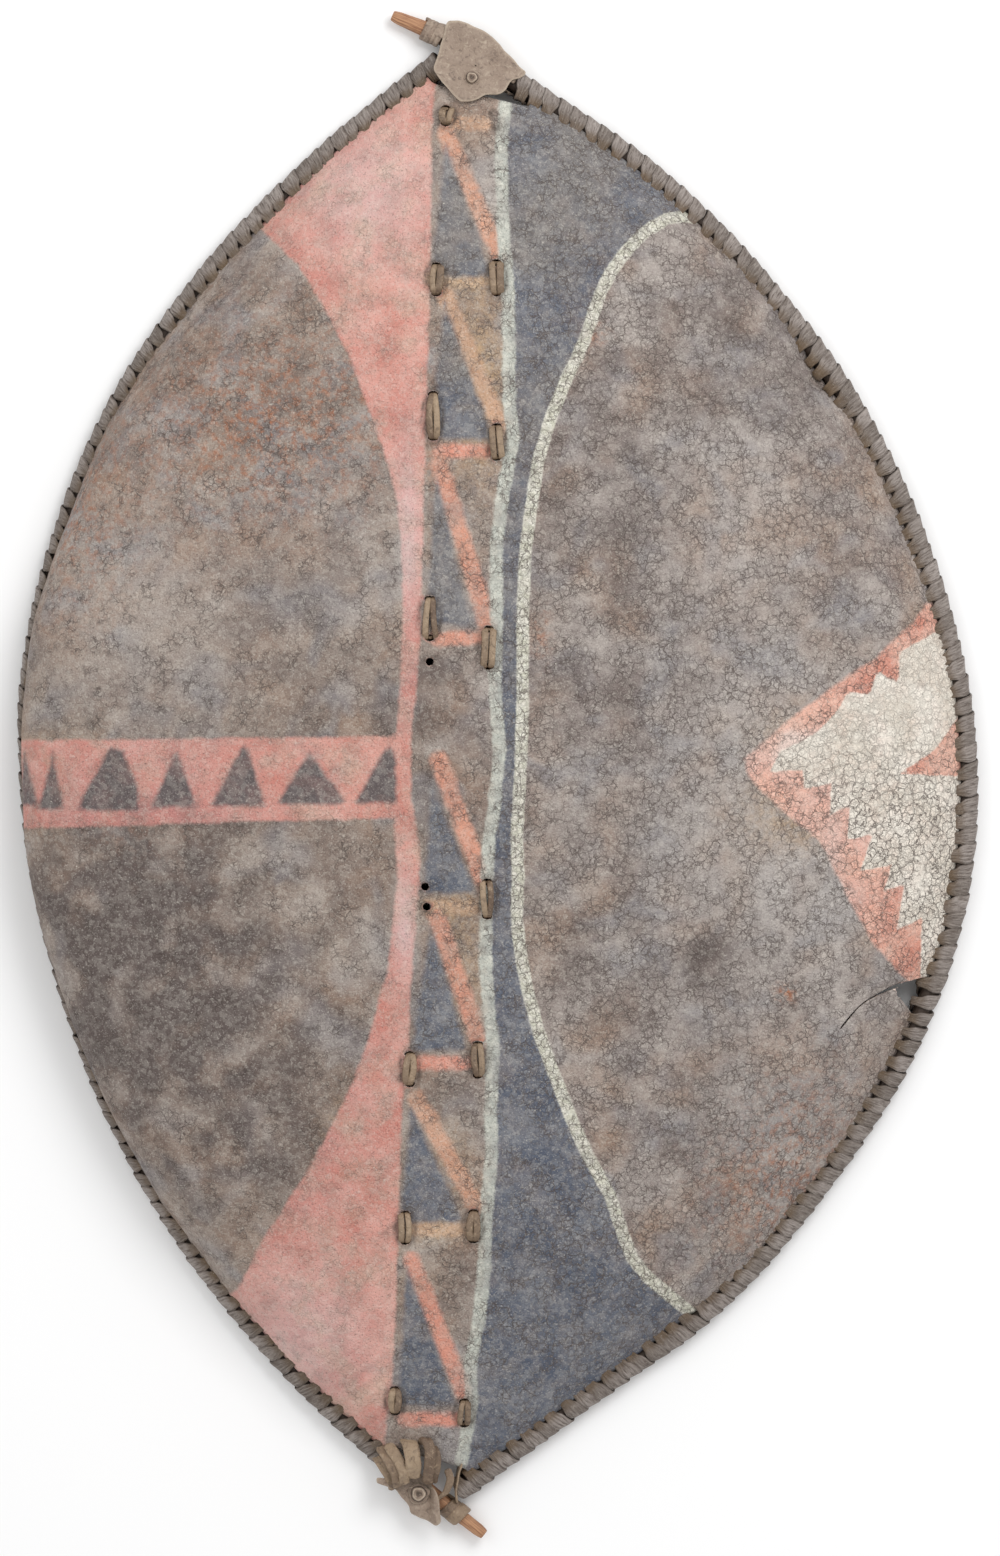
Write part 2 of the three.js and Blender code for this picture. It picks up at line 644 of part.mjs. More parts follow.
// Low dome with a flat foot.
function knot({ x, y, radius, height }, bottom) {
  const profile = [[0, 0], [radius, 0], [radius, 0.45 * height], [0.6 * radius, 0.9 * height], [0, height]];
  const dome = new THREE.LatheGeometry(profile.map(([r, z]) => new THREE.Vector2(r, z)), KNOT_SIDES);
  return dome.rotateX(Math.PI / 2).translate(x, y, bottom);
}

// Closed ring of leather round a bare stretch of rod.
function wrapRing(rod, distance, { length, outer }) {
  const inner = ROD_RADIUS + FIT_GAP + 0.25;
  const profile = [[inner, 0], [outer, 0.4], [outer, length - 0.4], [inner, length], [inner, 0]];
  const ring = new THREE.LatheGeometry(profile.map(([r, z]) => new THREE.Vector2(r, z)), KNOT_SIDES);
  const middle = rod.getPointAt((distance + length / 2) / rod.getLength());
  const along = rod.getTangentAt((distance + length / 2) / rod.getLength());
  ring.translate(0, -length / 2, 0);
  const turn = new THREE.Quaternion().setFromUnitVectors(new THREE.Vector3(0, 1, 0), along);
  return ring.applyQuaternion(turn).translate(middle.x, middle.y, middle.z);
}

function tailStrap() {
  const line = planLine(TAIL_STRAP_LINE);
  const steps = 10;
  const rings = [];
  for (let i = 0; i <= steps; i++) {
    const centre = line.getPointAt(i / steps);
    const along = line.getTangentAt(i / steps);
    const side = along.clone().cross(UP).normalize();
    const up = side.clone().cross(along);
    const corners = [[-1, -0.5], [-0.6, -1], [0.6, -1], [1, -0.5], [1, 0.5], [0.6, 1], [-0.6, 1], [-1, 0.5]];
    rings.push(corners.map(([a, b]) => centre.clone()
      .addScaledVector(side, a * TAIL_STRAP_HALF_WIDTH)
      .addScaledVector(up, b * TAIL_STRAP_HALF_THICKNESS)));
  }
  return loft(rings);
}

// ---- The shield ---------------------------------------------------------------------------

const group = new THREE.Group();

function add(name, geometry, material) {
  geometry.computeVertexNormals();
  const mesh = new THREE.Mesh(geometry, material);
  mesh.name = name;
  group.add(mesh);
}

add("hide", hideSolid(), RAWHIDE);
add("rim_rod_right", rodSolid(rightRod), ROD_WOOD);
add("rim_rod_left", rodSolid(leftRod), ROD_WOOD);
add("binding_right", bindingSolid(RIGHT), BOUND_LEATHER);
add("binding_left", bindingSolid(LEFT), BOUND_LEATHER);
add("stave", staveSolid(), STAVE_WOOD);
LACING_LEVELS.forEach((level, i) => add(`lacing_${i + 1}`, lacingSolid(level), THONG_LEATHER));
add("tip_cap", joined([capFold(), capPatch()]), PATCH_LEATHER);
add("tip_knot", knot(TIP_KNOT, capHeight(TIP_KNOT.x, TIP_KNOT.y) + 3), PATCH_LEATHER);
add("tip_wrap", wrapRing(rightRod, rightRod.getLength() - TIP_WRAP.start - TIP_WRAP.length, TIP_WRAP), BOUND_LEATHER);
add("tail_wrap", wrapRing(leftRod, TAIL_WRAP.start, TAIL_WRAP), THONG_LEATHER);
add("tail_strap", tailStrap(), THONG_LEATHER);
add("tail_tab", prism(TAB_OUTLINE, TAB_HEIGHT, TAB_HEIGHT + TAB_THICKNESS), PATCH_LEATHER);
add("tail_knot", knot(TAIL_KNOT, TAB_HEIGHT + TAB_THICKNESS + FIT_GAP), PATCH_LEATHER);

// The origin is the middle of the whole shield's underside.
const box = new THREE.Box3().setFromObject(group);
const middle = box.getCenter(new THREE.Vector3());
group.position.set(-middle.x, -middle.y, -box.min.z);

export default group;
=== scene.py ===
"""Hide shield, lying face up: every visible surface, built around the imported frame.

Lengths in this file are millimetres in the shield's own plan (x to the right, y to the top tip,
z out of the face), until emit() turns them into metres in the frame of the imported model.
"""
import math

import bpy
import numpy as np
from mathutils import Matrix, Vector


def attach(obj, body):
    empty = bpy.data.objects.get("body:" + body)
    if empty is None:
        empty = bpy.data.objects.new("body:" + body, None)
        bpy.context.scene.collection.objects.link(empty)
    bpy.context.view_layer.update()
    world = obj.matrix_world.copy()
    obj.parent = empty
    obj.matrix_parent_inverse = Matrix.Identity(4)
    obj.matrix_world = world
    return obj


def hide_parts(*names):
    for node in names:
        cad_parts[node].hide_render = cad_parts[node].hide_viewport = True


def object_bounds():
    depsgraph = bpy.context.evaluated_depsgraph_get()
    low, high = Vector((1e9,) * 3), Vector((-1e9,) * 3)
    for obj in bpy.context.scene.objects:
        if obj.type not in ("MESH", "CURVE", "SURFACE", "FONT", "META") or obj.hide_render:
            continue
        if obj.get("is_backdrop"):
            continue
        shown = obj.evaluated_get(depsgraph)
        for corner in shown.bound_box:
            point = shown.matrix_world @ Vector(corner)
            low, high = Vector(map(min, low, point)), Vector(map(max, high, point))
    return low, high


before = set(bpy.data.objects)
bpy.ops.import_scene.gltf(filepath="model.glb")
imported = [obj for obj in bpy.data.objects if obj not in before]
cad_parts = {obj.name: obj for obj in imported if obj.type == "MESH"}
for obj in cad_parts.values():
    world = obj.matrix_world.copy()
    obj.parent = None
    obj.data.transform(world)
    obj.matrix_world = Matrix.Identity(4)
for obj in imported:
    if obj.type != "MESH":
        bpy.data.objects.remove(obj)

CAD_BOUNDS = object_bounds()

bl_info = {
    "name": "Hide Shield",
    "version": (1, 0, 0),
    "blender": (4, 5, 0),
    "location": "3D View > Sidebar > Hide Shield",
    "description": "Painted rawhide shield with a wound rim, a laced stave and leather tips",
    "category": "Object",
}

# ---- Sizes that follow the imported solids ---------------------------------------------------
# LEAN at the left and BARE_ENDS depart from them, so that more of the wound strip shows.

MM = 0.001
PLAN_SHIFT = np.array([2.82, -0.32, -0.1])  # from the rim lines' origin to the frame's origin

RIGHT, LEFT = 1, -1
ROD_RADIUS = 5.5
ROD_HEIGHT = 8.4
ROD_LINES = {
    RIGHT: [
        (-26, -466), (60, -403), (144, -341), (213, -261), (268, -173), (300, -72), (303, 31),
        (279, 134), (236, 230), (175, 316), (101, 390), (15, 449), (-35, 481), (-69, 496),
    ],
    LEFT: [
        (-9, -496), (-45, -468), (-73, -445), (-144, -376), (-203, -301), (-251, -215),
        (-283, -125), (-302, -29), (-303, 67), (-281, 161), (-242, 249), (-185, 329),
        (-118, 398), (-35, 467),
    ],
}
BARE_ENDS = {RIGHT: (1, 88), LEFT: (70, 2)}  # rod beyond the binding, tail and tip
HIDE_ENDS = {RIGHT: (12, 108), LEFT: (86, 16)}  # rod beyond the hide, tail and tip

HIDE_THICKNESS = 5
HIDE_EDGE_REACH = 6.9
HIDE_LIP_REACH = 13.4
RIDGE_END_HEIGHT = 25
RIDGE_MID_HEIGHT = 84
RIDGE_POWER = 2.2
RIDGE_LINE = [(-47, -460), (-38, -293), (-29, -90), (-24, 100), (-20, 290), (-18, 455)]
SHOULDER = {LEFT: 0.8, RIGHT: 0.62}
CROWN = {LEFT: 0.62, RIGHT: 0.52}
LEAN = {LEFT: 106, RIGHT: 46}
END_LEAN = 50
LEAN_PEAK, LEAN_SPREAD = 0.43, 0.3
BOSS = (-28, -3, 34, 78, 12)  # x, y, half width, half length, height

STAVE_LINE = [(-45, -426), (-38, -293), (-29, -90), (-24.5, 100), (-20.5, 290), (-17.5, 438)]
STAVE_TO_HIDE = 1.6
STAVE_HALF_WIDTH, STAVE_END_HALF_WIDTH, STAVE_THICKNESS = 14, 10, 9
GRIP_Y, GRIP_HALF_LENGTH, GRIP_BLEND = -3, 55, 60
GRIP_HALF_WIDTH, GRIP_THICKNESS, GRIP_DROP = 11, 13, 8

# Lacing, from the top: middle of each bar (x, y) and its length, left and right of the stave.
LACING = [
    ((-34, 429, 11), None),
    ((-40, 321, 19), (-1, 322, 21)),
    ((-42, 232, 29), (-1, 215, 21)),
    ((-44, 101, 26), (-6, 82, 25)),
    (None, (-7, -80, 23)),
    ((-57, -190, 20), (-13, -184, 21)),
    ((-60, -293, 19), (-16, -292, 19)),
    ((-67, -407, 16), (-22, -415, 16)),
]
BARE_HOLES = [(-47, -72), (-46, -85), (-44, 73), (-2, 421), (-3, 430)]
THROUGH_HOLES = 3  # the two by the tip are only dimples
TORN_CORNER = [(283, -133), (262, -136), (259, -141), (264, -148), (271, -156), (283, -150)]
TEAR_LINE = [(262, -136), (246, -143), (235, -150), (222, -165)]

# ---- Painted areas -------------------------------------------------------------------------

RED_PANEL = [
    (-39, 474), (-43, 422), (-44, 311), (-46, 253), (-49, 134), (-50, 88), (-56, 23), (-56, -16),
    (-50, -49), (-52, -82), (-57, -147), (-58, -180), (-62, -209), (-64, -278), (-66, -343),
    (-69, -396), (-76, -452), (-129, -440), (-192, -352), (-169, -334), (-154, -304), (-129, -265),
    (-110, -232), (-94, -199), (-84, -171), (-71, -124), (-65, -67), (-67, -20), (-65, 27),
    (-61, 105), (-62, 147), (-65, 177), (-72, 203), (-80, 226), (-95, 268), (-110, 298),
    (-129, 330), (-154, 355), (-188, 378), (-64, 480),
]
LEFT_BAND = [(-320, 22), (-156, 24), (-62, 25), (-62, -28), (-156, -30), (-247, -33), (-320, -35)]
BAND_TEETH = [
    [(-308, 15), (-312, -20), (-298, -20)],
    [(-288, 16), (-298, -22), (-281, -22)],
    [(-250, 18), (-242, 15), (-232, -10), (-232, -23), (-273, -23), (-264, -6)],
    [(-208, 15), (-224, -21), (-194, -21)],
    [(-163, 21), (-186, -20), (-150, -20)],
    [(-122, 15), (-143, -19), (-97, -19)],
    [(-71, 20), (-92, -18), (-65, -18), (-66, 10)],
]
WHITE_LINE = [
    (7, 462), (4, 430), (2, 405), (3, 355), (7, 305), (7, 241), (10, 217), (5, 192), (1, 168),
    (-1, 147), (-1, 103), (-2, 56), (1, 14), (-3, -23), (-6, -42), (-7, -61), (-8, -99),
    (-8, -124), (-6, -149), (-3, -181), (-5, -218), (-4, -245), (-7, -276), (-9, -319),
    (-12, -351), (-18, -382), (-17, -407), (-24, -448),
]
WHITE_ARC = [
    (136, 364), (122, 364), (110, 362), (97, 354), (84, 341), (73, 326), (67, 314), (56, 281), (43, 253),
    (33, 228), (26, 203), (23, 184), (18, 147), (16, 110), (16, 46), (14, -10), (12, -36),
    (13, -67), (12, -93), (15, -118), (20, -143), (26, -165), (33, -184), (48, -224), (58, -246),
    (73, -273), (80, -295), (87, -313), (97, -326), (110, -337), (128, -353),
]
TIP_BEYOND_RIM = [(150, 378), (70, 470), (7, 485)]  # close the dark panel outside the rim
TAIL_BEYOND_RIM = [(-24, -485), (60, -430), (142, -362)]
# Cells of the centre strip: dark triangle, start and end of the stripe along it, cross bar below.
CENTRE_CELLS = [
    ([(-34, 410), (-43, 322), (-4, 322)], [(-34, 417), (3, 332)], [(-44, 321), (-6, 321)]),
    ([(-35, 307), (-44, 217), (-3, 217)], [(-36, 314), (1, 226)], [(-38, 209), (-7, 209)]),
    ([(-40, 194), (-47, 97), (-17, 97)], [(-38, 201), (-6, 96)], [(-40, 88), (-12, 88)]),
    ([(-43, -6), (-47, -76), (-14, -76)], [(-38, 10), (-8, -72)], [(-44, -85), (-13, -85)]),
    ([(-43, -98), (-56, -178), (-20, -178)], [(-40, -90), (-12, -172)], [(-50, -186), (-21, -186)]),
    ([(-56, -216), (-63, -289), (-22, -289)], [(-52, -209), (-12, -283)], [(-54, -294), (-22, -294)]),
    ([(-59, -318), (-65, -410), (-27, -410)], [(-56, -314), (-22, -402)], [(-61, -419), (-25, -419)]),
]
TOP_BAR = [(-30, 424), (-9, 424)]
STRIPE_TAN = [0.5, 0.8, 0.3, 0.3, 0.3, 0.6, 0.1]  # 0 red, 1 tan, one for each cell
BAR_TAN = [1.0, 0.1, 0.2, 0.9, 0.0, 0.9, 0.0]
FANG_PANEL = [
    (159, 10), (186, 34), (217, 57), (246, 77), (271, 100), (280, 112), (302, 114), (330, 18),
    (305, -67), (280, -132), (270, -136), (261, -129), (244, -110), (225, -76), (208, -42),
    (180, -20), (162, -1),
]
FANG_CREAM = [
    (176, 2), (182, 15), (203, 25), (218, 39), (227, 54), (241, 52), (246, 67), (260, 60),
    (261, 80), (285, 93), (310, 96), (330, 18), (310, -67), (280, -133), (275, -133), (276, -93),
    (259, -101), (264, -71), (250, -76), (256, -58), (235, -62), (243, -38), (226, -42),
    (228, -20), (215, -26), (216, -5), (198, -9), (197, 3),
]
FANG_TONGUE = [(261, 1), (284, 16), (300, 38), (310, 18), (300, -1)]

# Broad stains and rubbed places of the face, and painted shade low on the left half among the dark spots: x,
# y, half width, half length, strength.
PALE_SPOTS = [
    (-82, 377, 40, 45, 0.5), (-96, 150, 60, 60, 0.25), (-230, 100, 60, 80, 0.35), (150, 160, 50, 60, 0.4),
    (190, 40, 60, 60, 0.35), (-130, -370, 50, 50, 0.5), (0, 380, 16, 30, 0.6), (-12, -420, 30, 40, 0.5),
    (190, -70, 50, 60, 0.45), (-60, -95, 8, 30, 0.8), (-58, 160, 8, 60, 0.5), (180, -210, 50, 50, 0.35),
    (120, -20, 60, 50, 0.3), (190, 20, 16, 14, 0.9), (0, -190, 10, 60, 0.2), (240, -40, 40, 60, 0.25),
]
# Dark stains; the big spots low on the left half (x from about -160 to -240, y below -100) are painted shade
# where that side lies in shade.
DARK_STAINS_AND_SHADE = [
    (-150, 260, 90, 70, 0.2), (-240, -110, 90, 110, 1.0), (-175, -150, 100, 100, 0.45),
    (-120, 120, 60, 90, 0.25),
    (135, -120, 22, 16, 0.9), (165, 290, 60, 60, 0.4), (70, 170, 40, 120, 0.35), (-160, -250, 70, 60, 0.45),
    (60, -90, 30, 60, 0.3), (-45, 60, 22, 20, 0.5), (-40, 30, 14, 26, 0.45), (190, -230, 60, 60, 0.25),
]
RUST_SPOTS = [
    (-130, 245, 90, 60, 0.5), (-165, 210, 70, 50, 0.4), (187, -141, 7, 6, 1.0), (60, 285, 12, 8, 0.6),
    (120, -380, 30, 20, 0.3), (-270, 170, 30, 60, 0.6), (180, -280, 50, 40, 0.55), (-40, 200, 8, 14, 0.5),
    (28, 90, 6, 20, 0.5), (200, -230, 40, 50, 0.4), (-240, -20, 40, 30, 0.2),
]
OCHRE_SPOTS = [
    (-12, 250, 18, 60, 0.9), (-18, 322, 18, 8, 1.0), (-26, -85, 18, 8, 0.7), (-38, -294, 18, 8, 0.9),
    (-22, -120, 14, 40, 0.5), (205, 25, 40, 14, 0.4), (200, -25, 40, 24, 0.6), (-310, -2, 60, 30, 0.4),
    (-90, -300, 20, 60, 0.3), (-30, -250, 14, 30, 0.4), (-95, -240, 20, 30, 0.4),
]


# ---- Shape tools ---------------------------------------------------------------------------

def mix(a, b, t):
    """a carried towards b by the share t."""
    return a + (b - a) * t


def bell(x):
    """exp(-x^2): one at zero, falling off on both sides."""
    return np.exp(-np.square(x))


def smooth_step(low, high, x):
    """3t^2 - 2t^3 of the share t from low to high, held at its ends."""
    t = np.clip((x - low) / (high - low), 0, 1)
    return t * t * (3 - 2 * t)


def unit(vectors):
    """Vectors divided by their lengths."""
    return vectors / np.maximum(np.linalg.norm(vectors, axis=-1, keepdims=True), 1e-9)


def lattice_noise(points, cell, seed):
    """Value noise from -1 to 1: random values on a lattice, blended by smooth steps along each axis."""
    table = np.random.default_rng(seed).uniform(-1, 1, 4096)
    scaled = points / cell
    base = np.floor(scaled).astype(np.int64)
    part = scaled - base
    part = part * part * (3 - 2 * part)
    total = np.zeros(points.shape[:-1])
    for corner in np.ndindex(*(2,) * points.shape[-1]):
        key = np.zeros(points.shape[:-1], dtype=np.int64)
        weight = np.ones(points.shape[:-1])
        for axis, step in enumerate(corner):
            key ^= (base[..., axis] + step) * (73856093, 19349663, 83492791)[axis]
            weight *= part[..., axis] if step else 1 - part[..., axis]
        total += table[key & 4095] * weight
    return total


class Line:
    """Centripetal Catmull-Rom curve through set points, measured by its length."""

    def __init__(self, points, height=0.0, closed=False, per_span=60):
        given = np.array([(*p, height) if len(p) == 2 else p for p in points], float)
        if closed:
            ends = np.vstack([given[-1:], given, given[:2]])
        else:
            ends = np.vstack([2 * given[0] - given[1], given, 2 * given[-1] - given[-2]])
        spans = []
        t = np.linspace(0, 1, per_span, endpoint=False)[:, None]
        for p0, p1, p2, p3 in zip(ends[:-3], ends[1:-2], ends[2:-1], ends[3:]):
            d0, d1, d2 = (max(np.linalg.norm(b - a), 1e-6) ** 0.5 for a, b in ((p0, p1), (p1, p2), (p2, p3)))
            m1 = ((p1 - p0) / d0 - (p2 - p0) / (d0 + d1) + (p2 - p1) / d1) * d1
            m2 = ((p2 - p1) / d1 - (p3 - p1) / (d1 + d2) + (p3 - p2) / d2) * d1
            spans.append((2 * t**3 - 3 * t**2 + 1) * p1 + (t**3 - 2 * t**2 + t) * m1
                         + (3 * t**2 - 2 * t**3) * p2 + (t**3 - t**2) * m2)
        self.points = np.vstack(spans + [ends[-2:-1]])
        steps = np.linalg.norm(np.diff(self.points, axis=0), axis=1)
        self.lengths = np.concatenate([[0], np.cumsum(steps)])
        self.length = self.lengths[-1]

    def at(self, distance):
        """Positions and unit directions at the given distances along the curve."""
        place = np.stack([np.interp(distance, self.lengths, self.points[:, k]) for k in range(3)], -1)
        ahead = np.stack([np.interp(np.minimum(distance + 0.5, self.length), self.lengths, self.points[:, k])
                          for k in range(3)], -1)
        behind = np.stack([np.interp(np.maximum(distance - 0.5, 0), self.lengths, self.points[:, k])
                           for k in range(3)], -1)
        return place, unit(ahead - behind)


def signed_distance(xy, outline):
    """Distance to a closed outline, positive inside it and negative outside."""
    corners = np.array(outline, float)
    nearest = np.full(xy.shape[:-1], np.inf)
    inside = np.zeros(xy.shape[:-1], bool)
    x, y = xy[..., 0], xy[..., 1]
    for a, b in zip(corners, np.roll(corners, -1, axis=0)):
        nearest = np.minimum(nearest, segment_distance(xy, a, b))
        if a[1] != b[1]:
            crosses = (a[1] > y) != (b[1] > y)
            inside ^= crosses & (x < a[0] + (y - a[1]) * (b[0] - a[0]) / (b[1] - a[1]))
    return np.where(inside, nearest, -nearest)


def segment_distance(xy, a, b):
    """Distance to the straight piece from a to b."""
    along = np.array(b, float) - a
    t = np.clip(((xy - a) @ along) / max(along @ along, 1e-9), 0, 1)
    return np.linalg.norm(xy - a - t[..., None] * along, axis=-1)


def path_distance(xy, points):
    """Distance to an open path of straight pieces."""
    pairs = zip(points[:-1], points[1:])
    return np.minimum.reduce([segment_distance(xy, np.array(a, float), b) for a, b in pairs])


def spots(xy, places):
    """Sum of soft elliptical spots, each at its strength in the middle."""
    return sum(s * bell((xy[..., 0] - x) / w) * bell((xy[..., 1] - y) / h) for x, y, w, h, s in places)


# ---- Meshes --------------------------------------------------------------------------------

def grid_faces(rows, columns, start=0, close_columns=False):
    """Quads of a grid of points stored row by row."""
    r = np.arange(rows - 1)
    c = np.arange(columns if close_columns else columns - 1)
    r, c = (a.ravel() for a in np.meshgrid(r, c, indexing="ij"))
    r2, c2 = r + 1, (c + 1) % columns
    return start + np.stack([r * columns + c, r * columns + c2, r2 * columns + c2, r2 * columns + c], -1)


def emit(name, points, faces, material, attributes=None):
    """Makes a mesh object of points (millimetres in the shield's plan) and a list of face arrays."""
    mesh = bpy.data.meshes.new(name)
    loops = [np.asarray(f, np.int32) for f in faces]
    sizes = np.concatenate([np.full(len(f), f.shape[1], np.int32) for f in loops])
    flat = np.concatenate([f.ravel() for f in loops])
    mesh.vertices.add(len(points))
    mesh.vertices.foreach_set("co", ((np.asarray(points) + PLAN_SHIFT) * MM).astype(np.float32).ravel())
    mesh.loops.add(len(flat))
    mesh.loops.foreach_set("vertex_index", flat)
    mesh.polygons.add(len(sizes))
    mesh.polygons.foreach_set("loop_start", np.concatenate([[0], np.cumsum(sizes)[:-1]]).astype(np.int32))
    mesh.polygons.foreach_set("use_smooth", np.full(len(sizes), True))
    for key, values in (attributes or {}).items():
        layer = mesh.attributes.new(key, "FLOAT", "POINT")
        layer.data.foreach_set("value", np.asarray(values, np.float32).ravel())
    mesh.update(calc_edges=True)
    mesh.validate()
    piece = bpy.data.objects.new(name, mesh)
    bpy.context.scene.collection.objects.link(piece)
    mesh.materials.append(material)
    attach(piece, "root")
    return piece


def face_outwards(piece):
    """Turns the faces of a closed mesh outwards where they point in."""
    mesh = piece.data
    count = len(mesh.vertices)
    co = np.empty(count * 3, np.float32)
    mesh.vertices.foreach_get("co", co)
    co = co.reshape(-1, 3).astype(float)
    mesh.calc_loop_triangles()
    corners = np.empty(len(mesh.loop_triangles) * 3, np.int32)
    mesh.loop_triangles.foreach_get("vertices", corners)
    a, b, c = (co[corners.reshape(-1, 3)[:, k]] for k in range(3))
    if np.einsum("ij,ij->i", a, np.cross(b, c)).sum() < 0:
        mesh.flip_normals()
    return piece


def sweep(centres, sides, ups, profile, widths=1.0, heights=1.0):
    """Carries a closed profile of (side, up) pairs along centres; returns points and faces with end caps."""
    n, m = len(centres), len(profile)
    widths, heights = np.broadcast_to(widths, n), np.broadcast_to(heights, n)
    across = profile[None, :, 0, None] * widths[:, None, None] * sides[:, None, :]
    rise = profile[None, :, 1, None] * heights[:, None, None] * ups[:, None, :]
    points = (centres[:, None, :] + across + rise).reshape(-1, 3)
    quads = grid_faces(n, m, close_columns=True)[:, ::-1]
    caps = [np.arange(m)[None, :], (n - 1) * m + np.arange(m)[None, ::-1]]
    return points, [quads, *caps]


def merge_parts(parts):
    """One list of points and faces from several, with per-point attributes joined."""
    points, faces, attributes, start = [], [], {}, 0
    for part in parts:
        points.append(part[0])
        faces += [f + start for f in part[1]]
        for key, values in (part[2] if len(part) > 2 else {}).items():
            attributes.setdefault(key, []).append(np.broadcast_to(values, len(part[0])))
        start += len(part[0])
    return np.vstack(points), faces, {k: np.concatenate(v) for k, v in attributes.items()}


def frames_along(centres, hint):
    """Side and up vectors along a path: side stays as near as it can to the hint."""
    along = unit(np.gradient(centres, axis=0))
    side = unit(hint - np.sum(hint * along, axis=-1, keepdims=True) * along)
    return side, np.cross(side, along)


def oval(count):
    """Points of a unit circle, counterclockwise."""
    angle = np.arange(count) / count * 2 * np.pi
    return np.stack([np.cos(angle), np.sin(angle)], -1)


def rounded_bar(count, power=4.0):
    """Section of a flat strip with rounded edges, one unit half width and half height."""
    c, s = oval(count).T
    return np.stack([np.sign(c) * abs(c) ** (2 / power), np.sign(s) * abs(s) ** (2 / power)], -1)


# ---- Rim and hide surface ------------------------------------------------------------------

RODS = {side: Line(points, ROD_HEIGHT) for side, points in ROD_LINES.items()}
RIDGE = Line(RIDGE_LINE)
STAVE = Line(STAVE_LINE)


def rim_frame(side, distance):
    """Centre of the rod and the level direction from it towards the hide."""
    centre, along = RODS[side].at(distance)
    return centre, unit(np.stack([-along[..., 1], along[..., 0], 0 * along[..., 0]], -1)) * side


def hide_span(side):
    """Distances along a side's rod between which the hide runs, tail to tip."""
    tail, tip = HIDE_ENDS[side]
    return tail, RODS[side].length - tip


def lean_angle(side, place):
    """Angle from level at which the hide leaves the rim: END_LEAN, carried to LEAN by a bell."""
    share = bell((place - LEAN_PEAK) / LEAN_SPREAD)
    return np.radians(mix(END_LEAN, LEAN[side], share))


def ridge_height(place):
    """Height of the ridge: end height to mid height by 1 - |2 place - 1|^RIDGE_POWER."""
    return mix(RIDGE_END_HEIGHT, RIDGE_MID_HEIGHT, 1 - np.abs(2 * place - 1) ** RIDGE_POWER)


def hide_middle(rows, columns):
    """Middle surface of the hide as (rows, columns) points, from left to right in each row.

    Each half row is a straight lip in the binding and a cubic Bezier curve that leaves the rim
    along its lean and is level at the ridge; the boss over the grip is a bell added to the height.
    """
    place = np.linspace(0, 1, rows)
    starts = {}
    for side in (LEFT, RIGHT):
        tail, tip = hide_span(side)
        centre, inward = rim_frame(side, mix(tail, tip, place))
        lean = lean_angle(side, place)[:, None]
        out = inward * np.cos(lean) + np.array([0, 0, 1]) * np.sin(lean)
        starts[side] = (centre + out * HIDE_EDGE_REACH, centre + out * HIDE_LIP_REACH, out / out[:, 2:])
    y = (starts[LEFT][1][:, 1] + starts[RIGHT][1][:, 1]) / 2
    x = np.interp(y, RIDGE.points[:, 1], RIDGE.points[:, 0])
    ridge = np.stack([x, y, ridge_height(place) - HIDE_THICKNESS / 2], -1)
    t = np.linspace(0, 1, 120)[None, :, None]
    halves = []
    for side in (LEFT, RIGHT):
        edge, lip, rise = starts[side]
        climb = SHOULDER[side] * (ridge[:, 2:] - lip[:, 2:])
        level = mix(lip, ridge, 1 - CROWN[side])
        level[:, 2] = ridge[:, 2]
        p0, p1, p2, p3 = (p[:, None, :] for p in (lip, lip + rise * climb, level, ridge))
        curve = (1 - t) ** 3 * p0 + 3 * (1 - t) ** 2 * t * p1 + 3 * (1 - t) * t**2 * p2 + t**3 * p3
        halves.append(np.concatenate([edge[:, None, :], curve], axis=1))
    whole = np.concatenate([halves[0], halves[1][:, -2::-1]], axis=1)
    steps = np.linalg.norm(np.diff(whole, axis=1), axis=2)
    lengths = np.concatenate([np.zeros((len(place), 1)), np.cumsum(steps, axis=1)], axis=1)
    share = np.linspace(0, 1, columns)
    points = np.stack([
        np.stack([np.interp(share * length[-1], length, row[:, k]) for k in range(3)], -1)
        for row, length in zip(whole, lengths)])
    x, y, half_width, half_length, height = points[..., 0], points[..., 1], *BOSS[2:]
    points[..., 2] += height * bell((x - BOSS[0]) / half_width) * bell((y - BOSS[1]) / half_length)
    return points


def surface_normals(points):
    """Unit normals of a grid surface: its step across, crossed with its step along."""
    across = np.gradient(points, axis=1)
    along = np.gradient(points, axis=0)
    return unit(np.cross(across, along))


# ---- Hide ----------------------------------------------------------------------------------

HIDE_ROWS, HIDE_COLUMNS = 321, 229  # odd, so that the inner skin takes every second point
RIM_DENT = (212, 262, 24, 20, 5)  # x, y, half width, half length, depth
LACING_DIP = 1.4
WRINKLES = [  # middle x, y, half length, half width, turn of the folds in degrees, pitch, height
    (130, -300, 60, 40, 62, 7.5, 0.5), (190, -250, 40, 60, 58, 6.0, 0.4), (-100, -400, 46, 40, 40, 8.5, 0.7),
    (-30, -345, 14, 40, 55, 6.5, 0.4), (20, -330, 30, 50, 75, 8.0, 0.5), (215, 265, 30, 40, -40, 11.0, 0.8),
]


def lacing_bars():
    """Every bar that is still there."""
    return [bar for level in LACING for bar in level if bar]


